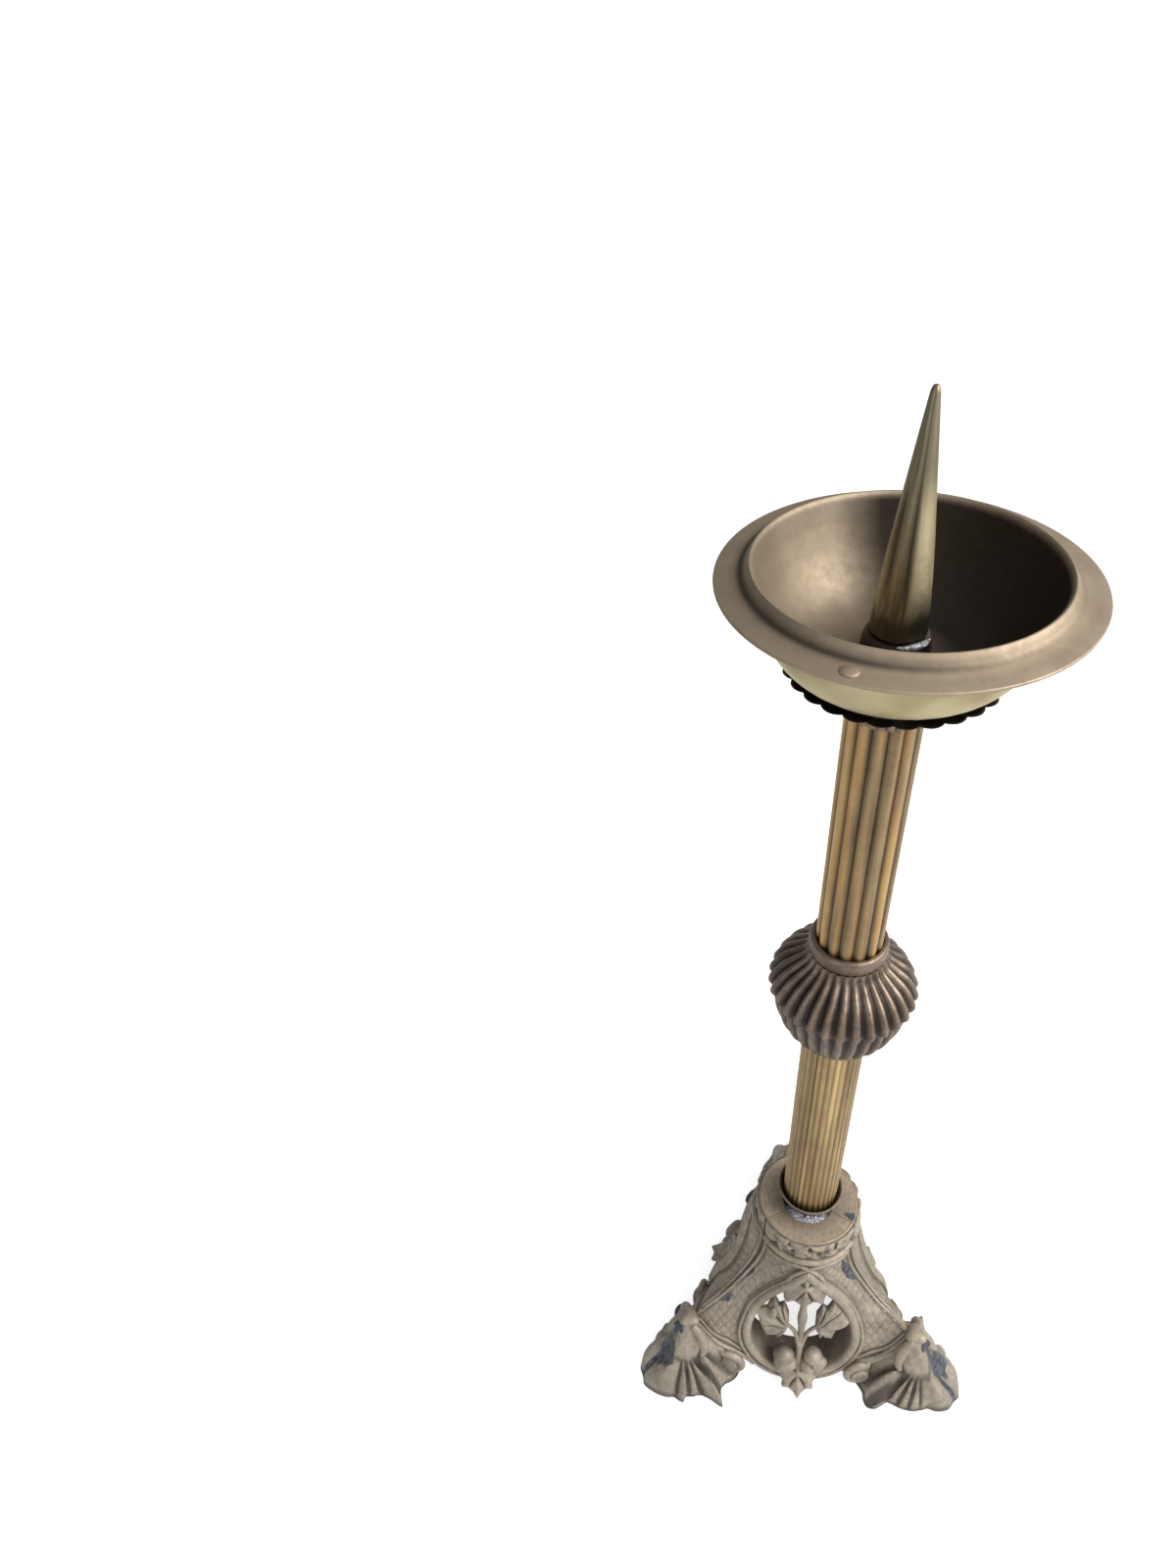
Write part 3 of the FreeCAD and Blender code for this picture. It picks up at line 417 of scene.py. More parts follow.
def bare_material(name):
    """A material with nothing in it yet."""
    made = bpy.data.materials.new(name)
    made.use_nodes = True
    made.node_tree.nodes.clear()
    return made, made.node_tree


def patina_group():
    """Worn metal: cloudy stains between two colours, with dark specks, painted shade where the
    Recess input is high, and a fine grain. It puts out a colour, a roughness and a height."""
    tree = bpy.data.node_groups.new("patina", "ShaderNodeTree")
    for way, sockets in (("INPUT", {"Place": "Vector", "Light": "Color", "Mid": "Color", "Dark": "Color",
                                    "Recess": "Float", "Size": "Float", "Grain": "Float",
                                    "Specks": "Float"}),
                         ("OUTPUT", {"Color": "Color", "Roughness": "Float", "Height": "Float"})):
        for label, kind in sockets.items():
            tree.interface.new_socket(label, in_out=way, socket_type="NodeSocket" + kind)
    given = tree.nodes.new("NodeGroupInput")
    place, size, dark = given.outputs["Place"], given.outputs["Size"], given.outputs["Dark"]
    cloud = noise_node(tree, place, size, 5.0, 0.62)
    fine = noise_node(tree, place, math_node(tree, "MULTIPLY", size, 7.0), 4.0, 0.7)
    grain = noise_node(tree, place, 2600.0, 2.0)
    stain_and_shade = range_node(tree, cloud, 0.36, 0.66)
    speck = math_node(tree, "MULTIPLY", range_node(tree, fine, 0.38, 0.68), given.outputs["Specks"])
    # painted shade: the Recess input darkens the colour towards the dark one
    shade_amount = math_node(tree, "MULTIPLY", given.outputs["Recess"], 0.9, True)
    colour = blend_node(tree, stain_and_shade, given.outputs["Mid"], given.outputs["Light"])
    colour = blend_node(tree, shade_amount, blend_node(tree, speck, colour, dark), dark)
    rough = math_node(tree, "ADD", math_node(tree, "MULTIPLY", fine, 0.25), 0.35)
    height = math_node(tree, "MULTIPLY", given.outputs["Grain"],
                       math_node(tree, "ADD", math_node(tree, "MULTIPLY", grain, 0.4), fine))
    node(tree, "NodeGroupOutput", {"Color": colour, "Roughness": rough, "Height": height})
    return tree


PATINA = patina_group()


def metal(name, light, mid, dark, size=60.0, grain=0.5, metallic=0.8, rough=0.0, recess=None,
          specks=0.35, extra=None):
    """A patinated metal from the shared group, with its own three colours."""
    made, tree = bare_material(name)
    place = node(tree, "ShaderNodeTexCoord").outputs["Object"]
    given = {"Place": place, "Size": size, "Grain": grain, "Specks": specks,
             "Light": (*light, 1.0), "Mid": (*mid, 1.0), "Dark": (*dark, 1.0)}
    if recess:
        given["Recess"] = mark_node(tree, recess)
    worn = node(tree, "ShaderNodeGroup", given, node_tree=PATINA)
    colour, roughness = worn.outputs["Color"], worn.outputs["Roughness"]
    if extra:
        colour, roughness = extra(tree, colour, roughness, place)
    bump = node(tree, "ShaderNodeBump", {"Height": worn.outputs["Height"], "Strength": 0.5,
                                         "Distance": 0.0004})
    shader = node(tree, "ShaderNodeBsdfPrincipled", {
        "Base Color": colour, "Roughness": math_node(tree, "ADD", roughness, rough),
        "Metallic": metallic, "Normal": bump.outputs[0]})
    node(tree, "ShaderNodeOutputMaterial", {0: shader.outputs[0]})
    return made


def solder_over(tree, colour, roughness, place):
    """Blue-grey solder laid over the brass where the solder mark is high, with a ragged edge."""
    ragged = noise_node(tree, place, 260.0, 3.0)
    edge = math_node(tree, "MULTIPLY", math_node(tree, "SUBTRACT", ragged, 0.5), 0.5)
    shown = range_node(tree, math_node(tree, "ADD", mark_node(tree, "solder"), edge), 0.42, 0.58)
    cloud = range_node(tree, ragged, 0.4, 0.6)
    grey = blend_node(tree, cloud, (0.045, 0.05, 0.062, 1), (0.12, 0.13, 0.15, 1))
    return blend_node(tree, shown, colour, grey), roughness


def gilt_over(tree, colour, roughness, place):
    """Solder, and golden worn places where the worn mark is high, broken up by a fine noise."""
    colour, roughness = solder_over(tree, colour, roughness, place)
    broken = range_node(tree, noise_node(tree, place, 420.0, 2.0), 0.48, 0.62)
    shown = math_node(tree, "MULTIPLY", mark_node(tree, "worn"), broken, True)
    rough = math_node(tree, "SUBTRACT", roughness, math_node(tree, "MULTIPLY", shown, 0.2))
    return blend_node(tree, shown, colour, (0.62, 0.44, 0.16, 1)), rough


def grey_below(tree, colour, roughness, place):
    """Dark brown on the corners above, turning to bare blue-grey solder at the feet."""
    up = node(tree, "ShaderNodeSeparateXYZ", {0: place}).outputs["Z"]
    shown = range_node(tree, up, 0.058, 0.052)
    return blend_node(tree, shown, (0.10, 0.083, 0.064, 1), colour), roughness


def olive_sheen_under(tree, colour, roughness, place):
    """A pale yellow-green cast on the underside where the olive mark is high, painted in as the
    floor's reflection and clouded with brown stains.
    """
    mark = mark_node(tree, "olive")
    cloud = range_node(tree, noise_node(tree, place, 30.0, 2.0), 0.40, 0.60)
    tint = blend_node(tree, cloud, (0.40, 0.31, 0.17, 1), (0.60, 0.53, 0.32, 1))
    rough = math_node(tree, "SUBTRACT", roughness, math_node(tree, "MULTIPLY", mark, 0.12))
    return blend_node(tree, mark, colour, tint), rough


def streaked(name, bands, deep):
    """Metal with upright streaks: a noise drawn out along the column picks among the colours, and
    the recess mark darkens it by a share, deep, as painted shade."""
    def extra(tree, colour, roughness, place):
        long = node(tree, "ShaderNodeMapping", {"Vector": place, "Scale": (1, 1, 0.05)}).outputs[0]
        ramp = node(tree, "ShaderNodeValToRGB", {0: noise_node(tree, long, 120.0, 3.0, 0.6)})
        stops = ramp.color_ramp.elements
        while len(stops) < len(bands):
            stops.new(0.5)
        for stop, (at, shade) in zip(stops, bands):
            stop.position = at
            stop.color = (*shade, 1)
        mixed = blend_node(tree, 0.75, colour, ramp.outputs[0])
        shade_amount = math_node(tree, "MULTIPLY", mark_node(tree, "recess"), deep, True)
        return blend_node(tree, shade_amount, mixed, (0.03, 0.024, 0.016, 1)), roughness
    light, mid, dark = bands[-1][1], bands[len(bands) // 2][1], bands[0][1]
    return metal(name, light, mid, dark, size=70, grain=0.3, metallic=0.9, rough=-0.05, extra=extra)


# Each metal: its light, middle and dark colour, then what sets it apart
CAST = metal("cast_brass", (0.475, 0.415, 0.335), (0.32, 0.277, 0.22), (0.048, 0.040, 0.032), size=45,
             grain=1.0, metallic=0.35, rough=0.08, recess="recess", extra=gilt_over)
PLATE = metal("plate_brass", (0.56, 0.455, 0.34), (0.46, 0.37, 0.275), (0.07, 0.058, 0.045), size=60,
              grain=0.4, metallic=0.4, rough=0.02, recess="recess", extra=gilt_over)
SEAM = metal("seam_solder", (0.13, 0.14, 0.16), (0.06, 0.066, 0.08), (0.02, 0.02, 0.024), size=150,
             grain=1.0, metallic=0.4, rough=0.15, extra=grey_below)
BRIGHT = metal("bright_solder", (0.82, 0.83, 0.88), (0.55, 0.56, 0.62), (0.045, 0.04, 0.045), size=320,
               grain=1.6, metallic=0.85, rough=-0.1, recess="recess")
COPPER = metal("spacer_copper", (0.24, 0.15, 0.12), (0.14, 0.085, 0.07), (0.03, 0.02, 0.02), size=90,
               metallic=0.7)
CUP = metal("cup_brass", (0.34, 0.29, 0.22), (0.20, 0.17, 0.13), (0.012, 0.010, 0.010), size=90,
            metallic=0.6, recess="recess")
STEEL = metal("hardware_steel", (0.35, 0.34, 0.33), (0.22, 0.21, 0.20), (0.08, 0.07, 0.06), metallic=0.85)
DARK = metal("dark_brass", (0.38, 0.29, 0.22), (0.20, 0.15, 0.12), (0.014, 0.010, 0.009), size=70,
             grain=0.7, metallic=0.82, rough=-0.07, recess="recess")
PAN = metal("pan_brass", (0.50, 0.41, 0.30), (0.40, 0.32, 0.235), (0.012, 0.010, 0.009), size=42,
            grain=0.35, metallic=0.88, rough=0.15, recess="soot", specks=0.06, extra=olive_sheen_under)
LOWER = streaked("lower_tube_brass", [(0.34, (0.13, 0.09, 0.05)), (0.45, (0.33, 0.22, 0.10)),
                                      (0.55, (0.43, 0.30, 0.145)), (0.65, (0.76, 0.56, 0.27))], 0.62)
UPPER = streaked("upper_tube_brass", [(0.36, (0.17, 0.115, 0.07)), (0.43, (0.28, 0.225, 0.13)),
                                      (0.49, (0.46, 0.27, 0.12)), (0.57, (0.58, 0.39, 0.15)),
                                      (0.68, (0.70, 0.50, 0.24))], 0.85)
# The pricket's lightest streak colours serve as its painted highlight where its painted shade leaves them.
SPIKE = streaked("pricket_brass", [(0.28, (0.32, 0.20, 0.11)), (0.40, (0.60, 0.44, 0.25)),
                                   (0.50, (0.84, 0.70, 0.42)), (0.62, (0.95, 0.84, 0.54))], 0.93)


# The base faces, in the casting's own coordinates: across, out and up, for the face that looks
# along -Y. Its corner and the middle of its wall are lines of (distance out, height)

CORNER = [(28.3, 132), (28.0, 118), (28.0, 106), (29.5, 97), (33, 88), (38.5, 80), (45.5, 72),
          (54.5, 64), (67.5, 57), (72.0, 52), (76.0, 46), (80.0, 38), (84.0, 30), (92.0, 0)]
MIDDLE = [(27.8, 132), (28.6, 118), (30.6, 100), (33.8, 75), (38.6, 50), (41.6, 36), (46.5, 14), (49.6, 0)]
SIN60 = math.sin(math.radians(60))


def wall_depth(across, up):
    """How far out the wall's front stands: at each height the arc through both corners and the
    middle, middle - (R - sqrt(R^2 - across^2)), R = (half^2 + rise^2) / (2 rise)."""
    corner = spline(CORNER, up)
    middle = spline(MIDDLE, up)
    half = corner * SIN60
    rise = np.maximum(middle - corner * 0.5, 0.4)
    big = (half ** 2 + rise ** 2) / (2 * rise)
    reach = np.minimum(np.abs(across), big * 0.98)
    return middle - (big - np.sqrt(big ** 2 - reach ** 2))


def bulge(up):
    """How far the wall stands out near the ground: nothing at 24 mm, 1 mm at its foot."""
    return unit((24 - up) / 24)


def on_face(turn):
    """Puts (across, up, out) of a face into space: x = across, y = -out, then a turn round Z."""
    return lambda across, up, out: turned(across, -out, up, turn)


def laid(wall, path, lift):
    """A line drawn flat on a face, put into space at lift in front of the wall."""
    return wall(path[:, 0], path[:, 1], wall_depth(path[:, 0], path[:, 1]) + lift)


def mirrored_outline(half):
    """Half an outline on the right from top to bottom, made whole by its mirror image."""
    return [(x, z) for x, z in half] + [(-x, z) for x, z in reversed(half) if abs(x) > 1e-6]


def half_to_whole(half):
    """A whole outline from its right half, drawn as a smooth line through the given corners."""
    line = curve_through(half, HALF_STEPS)
    line[:, 0] = np.maximum(line[:, 0], 0)
    return np.vstack([line, (line[1:-1] * [-1, 1])[::-1]])


HALF_STEPS = 90

# The pointed ring, the opening in it, the arches below the wall and three patches of solder
RING = half_to_whole([(0, 112), (5.5, 102), (11.5, 93), (17.5, 84.5), (23.5, 76), (30.5, 66.5), (34.8, 58),
                      (36.7, 50), (37.0, 42), (35.8, 34), (33, 27), (29.5, 20.5), (25, 15), (19, 10.5),
                      (12, 7.6), (5, 5.9), (0, 5.6)])
HOLE = half_to_whole([(0, 100.5), (4, 95), (9, 88.5), (14, 81.5), (19.5, 74), (25, 65), (28, 57.5),
                      (29.2, 50), (28.8, 42), (27, 35), (23.8, 28.5), (19.3, 23), (13.5, 18.4),
                      (7, 15.6), (0, 14.7)])
ARCH = [(24, 12.5), (28, 16.5), (33, 20.5), (39, 24), (45, 27.5), (50, 31.5), (54, 36.5), (60, 44.5),
        (66, 52)]
SOLDER_RIGHT = [(19.6, 103.6), (23.7, 95), (28.5, 84), (31.2, 80.2), (27.5, 82), (24.3, 85.4), (20.4, 94.1)]
SOLDER_LEFT = [(-36.3, 74.8), (-32.1, 82), (-27.8, 86.1), (-28.9, 81.3), (-31.9, 77.5)]
SOLDER_LOW = [(-48, 61), (-44, 65.5), (-40.5, 65), (-43, 61.5)]


def between(share):
    """A line between the opening and the ring's outline, at a share of the way out."""
    return HOLE + (RING - HOLE) * share


def mirrored(path):
    return [(-x, z) for x, z in path]


def thin_roll():
    """The ring's outer roll: from the bottom up the right side and over the point to the left."""
    side = [tuple(p) for p in between(0.86)[:HALF_STEPS + 1] if p[1] < 93.5][::-1]
    return curve_through(side + [(7.2, 101.0), (2.6, 106.6), (-2.2, 110.0), (-8.0, 111.2), (-15.0, 110.4),
                                 (-22.6, 108.0)], 150)


def both_ways(path, thick, lift):
    """An open bar and its mirror image."""
    return [(path, thick, lift, False), (mirrored(path), thick, lift, False)]


ARCH_ROLL = curve_through([(26.5, 16.2), (31.5, 20.8), (38, 25.4), (44.5, 28.8), (49.5, 32.6), (53.5, 37.4),
                           (58.5, 43.8), (62.0, 48.0)], 60)
ARCH_LINE = curve_through([(34.6, 27.4), (38.6, 31.0), (43.6, 34.6), (49.4, 37.4), (53.6, 41.6),
                           (57.4, 46.8), (60.4, 51.0)], 50)
TOP_ROLL = np.stack([np.linspace(-23.6, 23.6, 50), np.full(50, 115.4)], -1)
CORNER_UP = np.linspace(116.5, 57.0, 60)
CORNER_ROLL = np.stack([spline(CORNER, CORNER_UP) * SIN60 - 0.9, CORNER_UP], -1)

# The mouldings on a face: line, radius, height over the wall at its middle, closed or not
BARS = [(between(0.34), 2.75, 0.9, True), *both_ways(thin_roll(), 1.15, 1.1), (TOP_ROLL, 1.85, 0.9, False),
        *both_ways(CORNER_ROLL, 0.95, 0.25), *both_ways(ARCH_ROLL, 1.5, 0.4),
        *both_ways(ARCH_LINE, 0.8, 0.4)]
BAR_SIDES = 14


def plain_marks(count, recess=0.0, worn=0.0):
    return {"recess": np.full(count, recess), "solder": np.zeros(count), "worn": np.full(count, worn)}


def with_marks(part, recess=0.0, worn=0.0):
    return (*part, plain_marks(len(part[0]), recess, worn))


def bar_on(wall, path, thick, lift, closed):
    """A round bar along a line on the wall, its middle at lift over it: circles across the line
    whose one axis lies along the wall and whose other points out of it."""
    path = np.asarray(path, float)
    depth = wall_depth(path[:, 0], path[:, 1]) + lift + bulge(path[:, 1])
    line = wall(path[:, 0], path[:, 1], depth)
    out = wall(path[:, 0], path[:, 1], depth + 1) - line
    ahead = np.roll(line, -1, 0) - np.roll(line, 1, 0) if closed else np.gradient(line, axis=0)
    ahead /= np.linalg.norm(ahead, axis=1)[:, None]
    side = np.cross(ahead, out)
    side /= np.linalg.norm(side, axis=1)[:, None]
    points, quads, tris = sweep(line, ahead, side, np.full(len(line), thick), BAR_SIDES, closed)
    marks = plain_marks(len(points))
    glint = unit((line[:, 2] - 104) / 10) * 0.5 * unit(lumps(*path.T, 3.5, 14) + 0.3)
    upper = unit(np.sin(full_turn(BAR_SIDES)))
    marks["worn"][:len(line) * BAR_SIDES] = (glint[:, None] * upper[None, :]).ravel()
    return points, quads, tris, marks


LATTICE = 4.5  # from one cut line in the spandrels to the next


def face_relief(across, up):
    """The carving that lies flat on the wall: a lattice of cut lines and dots in the spandrels, the
    crumbly leaf row under the plate, and steps beside the mouldings; with it come the marks for
    painted shade in the recesses, solder and worn places."""
    side = np.abs(across)
    hole = -inside(across, up, HOLE)
    ring = inside(across, up, RING)
    corner = spline(CORNER, up) * SIN60 - side
    arch = to_line(side, up, ARCH_LINE)
    beside = np.full(across.shape, 9.0)
    for path, thick, lift, closed in BARS:
        line = np.vstack([path, path[:1]]) if closed else path
        beside = np.minimum(beside, to_line(across, up, line) - thick)
    height = np.where(ring > 0, 0.5, 0.0) - 0.6 * hump(beside - 0.3, 0.5)
    height = blurred(height + 0.10 * lumps(across, up, 8, 6), 1)
    below_arch = inside(side, up, [(34, 26)] + [tuple(q) for q in ARCH_LINE] + [(70, 51), (70, 0),
                                                                                (24, 0), (24, 14)])
    field = (unit((-ring - 0.9) / 0.7) * unit((corner - 2.6) / 0.7)
             * unit((beside - 0.5) / 0.7) * (up < 110.5) * (below_arch < 0)
             * unit((arch - 1.6) / 0.7))
    one = (side * 0.84 + up * 0.54) / LATTICE
    two = (side * 0.84 - up * 0.54) / LATTICE
    lines = np.minimum(np.abs(one - np.round(one)), np.abs(two - np.round(two))) * LATTICE
    dots = np.hypot(one - np.floor(one) - 0.5, two - np.floor(two) - 0.5) * LATTICE
    field_wear = 0.72 + 0.28 * np.clip(lumps(across, up, 9, 15) * 1.5, -1, 1)
    height = height - field * (0.35 + field_wear * (0.55 * hump(lines, 0.34) - roll(dots, 0.85, 0.45)))
    leafy = unit((up - 118.0) / 0.8) * unit((131.4 - up) / 1.2)
    leaf_row = np.abs(np.sin(across / 4.6 * np.pi / 2 + 0.4 * np.sin(up * 0.5)))
    pits = unit(lumps(across, up, 2.3, 3) * 1.5 - 0.25)
    height = height + leafy * (1.3 * leaf_row - 2.0 * pits + 0.35 * lumps(across, up, 1.2, 4)
                               + 1.2 * unit((up - 126) / 5))
    # Painted shade: darker where the carving lies below its surroundings, beside the mouldings, in the pits
    # of the leaf row and round the edge of the opening.
    shade_amount = unit((blurred(height, 3) - height) + (blurred(height, 8) - height) * 0.3)
    for dark in (0.75 * hump(beside - 0.2, 0.6), leafy * unit(pits * 1.4), 0.45 * (hole < 0.4)):
        shade_amount = np.maximum(shade_amount, dark)
    solder = np.zeros(across.shape)
    for patch in (SOLDER_RIGHT, SOLDER_LEFT, SOLDER_LOW):
        solder = np.maximum(solder, unit(0.5 + inside(across, up, patch) / 1.2))
    worn = unit((height - blurred(height, 5)) * 0.9 - 0.15) * unit((up - 117) / 4)
    ridge = 0.6 * hump(corner, 1.0) * unit(lumps(across, up, 7, 12) * 1.6 - 0.6)
    return height, {"recess": shade_amount, "solder": solder, "worn": np.maximum(worn, ridge)}


FACE_GRID, LEAF_GRID = 0.52, 0.5  # the spacing of the points that a wall or a leaf is cut from
WALL_THICK = 3.0


def face_wall():
    """The openwork wall of a face: the ring and everything over the arches, less the opening,
    cut to the corners."""
    across, up = np.meshgrid(np.arange(-62, 62.3, FACE_GRID), np.arange(2.0, 132.3, FACE_GRID))
    side = np.abs(across)
    path = np.array(ARCH)
    between_arches = side < path[0, 0]
    over = np.where(between_arches, up - 12.0, (up - np.interp(side, path[:, 0], path[:, 1])) * 0.85)
    corner = (spline(CORNER, up) * SIN60 - side) * 0.7 - 0.15
    wall = np.minimum(np.minimum(over, corner), 131.7 - up)
    ring = inside(across, up, RING)
    body = np.minimum(np.maximum(wall, ring), -inside(across, up, HOLE))
    body = np.where(between_arches, np.minimum(body, np.maximum(ring, up - 60)), body)
    height, marks = face_relief(across, up)
    depth = wall_depth(across, up)
    return across, up, body, depth + height + bulge(up), depth - WALL_THICK, marks


# Leaves of the spray in face coordinates: outline, then the ribs that run to the tips
TOP_LEAF = (mirrored_outline([(0, 100.0), (4.6, 96.5), (9.6, 92.4), (12.4, 89.6), (11.0, 86.6),
                              (12.2, 82.0), (11.4, 76.2), (7.6, 77.6), (4.0, 75.6), (0, 73.2)]),
            [[(0, 99), (0, 74)], [(0, 95), (10.8, 77.6)], [(0, 95), (-10.8, 77.6)]])
LEFT_LEAF = ([(-7.6, 57.5), (-7.8, 64.0), (-10.6, 71.6), (-13.6, 69.6), (-16.6, 75.4), (-19.0, 70.0),
              (-20.4, 66.0), (-27.4, 63.6), (-25.2, 58.0), (-24.0, 52.6), (-20.8, 44.4), (-17.0, 46.6),
              (-13.2, 42.2), (-10.0, 46.8), (-8.0, 50.6)],
             [[(-8.4, 56), (-16.4, 74)], [(-8.4, 56), (-26.6, 63)], [(-8.4, 56), (-20.6, 45.2)],
              [(-8.4, 56), (-13.0, 43)], [(-8.4, 57), (-10.8, 70.5)]])
RIGHT_LEAF = ([(8.0, 57.5), (8.0, 65.0), (11.2, 71.4), (14.0, 69.4), (18.0, 74.8), (21.4, 69.6),
               (24.0, 66.6), (28.0, 60.0), (24.2, 56.6), (20.6, 53.2), (18.4, 45.8), (14.8, 47.4),
               (10.8, 43.8), (9.8, 49.2), (8.2, 52.0)],
              [[(8.4, 56), (17.6, 73.6)], [(8.4, 56), (27.4, 60.2)], [(8.4, 56), (18.0, 46.6)],
               [(8.4, 56), (11.0, 44.6)], [(8.4, 58), (11.2, 70.4)]])
FOOT_LEAF = (mirrored_outline([(0, 18.5), (4.0, 17.6), (9.0, 16.6), (11.6, 12.6), (8.4, 10.0),
                               (9.4, 6.6), (5.6, 6.2), (2.8, 4.6), (0, 1.8)]),
             [[(0, 18), (0, 2.4)], [(0, 16), (9.6, 9.6)], [(0, 16), (-9.6, 9.6)]])


def leaf(shape, stand, wall, thick, cup=0.0, flare=None):
    """A leaf laid on the wall: its front is a pillow thick * sqrt(1 - (1 - d/reach)^2) over the
    distance d from its edge, raised along the ribs and let in halfway between them; cup bends it
    by cup * (distance from its middle)^2, and flare leans it out by height."""
    outline, ribs = np.asarray(shape[0], float), shape[1]
    low, high = outline.min(0) - 1, outline.max(0) + 1
    across, up = np.meshgrid(np.arange(low[0], high[0], LEAF_GRID), np.arange(low[1], high[1], LEAF_GRID))
    within = inside(across, up, outline)
    pillow = np.sqrt(unit(1 - (1 - unit(within / 3.4)) ** 2))
    nearest = np.sort(np.stack([to_line(across, up, rib) for rib in ribs]), axis=0)
    crease = hump(nearest[1] - nearest[0], 0.9) * unit(nearest[0] / 1.5)
    rise = thick * pillow * (0.62 + 0.55 * hump(nearest[0], 1.9)) - 1.3 * crease * pillow
    rise = rise + 0.15 * lumps(across, up, 2.4, 11)
    middle = (outline.min(0) + outline.max(0)) / 2
    bend = cup * ((across - middle[0]) ** 2 + (up - middle[1]) ** 2)
    # Painted shade in the leaf's hollows and creases.
    shade_amount = unit((blurred(rise, 3) - rise) * 1.1 + 0.55 * crease)
    sag = -1.4 + 0.6 * unit(within / 3.0)

    def place(a, b, depth):
        return wall(a, b, wall_depth(a, b) + stand + (flare(b) if flare else 0) + depth)
    marks = {"recess": shade_amount, "solder": 0 * across, "worn": 0 * across}
    return carved(across, up, within, rise + bend, sag + bend, marks, place)


def ball(centre, radii, rows=20, turns=26, lobes=0, depth=0.0, seed=1):
    """A round boss: centre + radii times the sphere of angles (up, round), its radius changed by
    depth*cos(lobes*round)*cos(up)^2 and by small random lumps."""
    up = np.linspace(-math.pi / 2, math.pi / 2, rows)[1:-1]
    a, b = np.meshgrid(up, full_turn(turns), indexing="ij")
    rough = lumps(np.cos(b) * 5 + a * 6, np.sin(b) * 5 + a * 4, 2.0, seed)
    scale = 1 + depth * np.cos(lobes * b) * np.cos(a) ** 2 + 0.03 * rough * np.cos(a)
    x = np.cos(a) * np.cos(b) * scale
    y = np.cos(a) * np.sin(b) * scale
    z = np.sin(a) * scale
    points = np.stack([x, y, z], -1).reshape(-1, 3)
    points = np.vstack([points, [[0, 0, -1], [0, 0, 1]]]) * radii + centre
    quads = ring_quads(len(up), turns, False, True)
    return points, quads, caps(len(up), turns, len(points) - 2, len(points) - 1)


def hole_lining(wall):
    """The deep return behind the opening's lower part: at each place on the opening's edge a thin
    rounded wall runs back by 3 + 13 * share, where share grows from 0 at 66 mm up to 1 at 26 mm,
    and turns a little inwards."""
    centre = np.array([0, 48.0])
    share = unit((66 - HOLE[:, 1]) / 40)
    deep = 3 + 13 * share
    section = [(1.002, 0.6), (0.995, -0.15), (0.985, -0.45), (0.97, -0.75), (0.95, -0.97), (0.955, -1.03),
               (0.98, -1.02), (1.01, -0.8), (1.03, -0.5), (1.05, -0.2), (1.05, 0.2)]
    points = np.stack([laid(wall, centre + (HOLE - centre) * scale, back if back > 0 else back * deep)
                       for scale, back in section], 1)
    quads = ring_quads(len(HOLE), len(section), True, True)
    points = points.reshape(-1, 3)
    marks = plain_marks(len(points))
    # Painted shade: darker the further back into the opening.
    marks["recess"] = np.outer(0.25 + 0.35 * share, [0.3, 0.6, 0.8] + [1] * (len(section) - 3)).ravel()
    return points, quads, NO_TRIS, marks


# Round bosses of the spray: across, up, height over the wall, radii, lobes and their depth, seed, painted
# shade
BOSSES = [(-9.0, 28.2, 2.4, (6.4, 6.2, 6.4), 0, 0, 8, 0.25),
          (-7.8, 23.4, 2.6, (6.9, 6.4, 5.0), 0, 0, 10, 0),
          (8.2, 29.2, 2.2, (5.6, 5.6, 5.6), 0, 0, 11, 0),
          (11.0, 24.6, 2.4, (5.6, 5.4, 5.2), 4, 0.08, 12, 0),
          (6.2, 22.6, 2.8, (5.0, 5.2, 4.8), 0, 0, 13, 0), (9.0, 26.6, 7.0, (1.7, 1.7, 1.7), 0, 0, 3, 0.2),
          (-17.0, 65.0, 2.4, (2.6, 2.6, 5.2), 0, 0, 3, 0)]


def curl(wall, sign, centre):
    """A curl beside a foot: a bar that comes down the arch and winds round an eye, its radius
    9.6 - 7.9 t^0.85 over 600 degrees."""
    t = np.linspace(0, 1, 70)
    angle = math.radians(60) + t * math.radians(600)
    radius = 9.6 - 7.9 * t ** 0.85
    spiral = np.stack([centre + radius * np.cos(angle) * 0.9, 15.0 + radius * np.sin(angle) * 1.1], -1)
    tail = np.array([[centre + 21, 38.0], [centre + 16, 33.4], [centre + 10.5, 28.8]])
    path = np.vstack([curve_through(np.vstack([tail, spiral[:1]]), 14)[:-1], spiral])
    from_eye = np.hypot(path[:, 0] - centre, (path[:, 1] - 15.0) / 1.1)
    dome = 4.6 * np.sqrt(unit(1 - (from_eye / 10.5) ** 2))
    depth = np.interp(path[:, 0], [30, 62], [45.5, 41.5]) + dome
    thick = np.interp(np.linspace(0.0, 1.0, len(path)), [0, 0.2, 0.5, 1.0], [1.6, 2.3, 1.9, 1.2])
    eye = wall(np.array([sign * centre]), np.array([15.0]), np.array([44.6]))[0]
    return [with_marks(cable(wall(sign * path[:, 0], path[:, 1], depth), thick, 16)),
            with_marks(ball(eye, (7.6, 6.4, 9.6), 30, 40, 0, 0, 4), recess=0.35)]


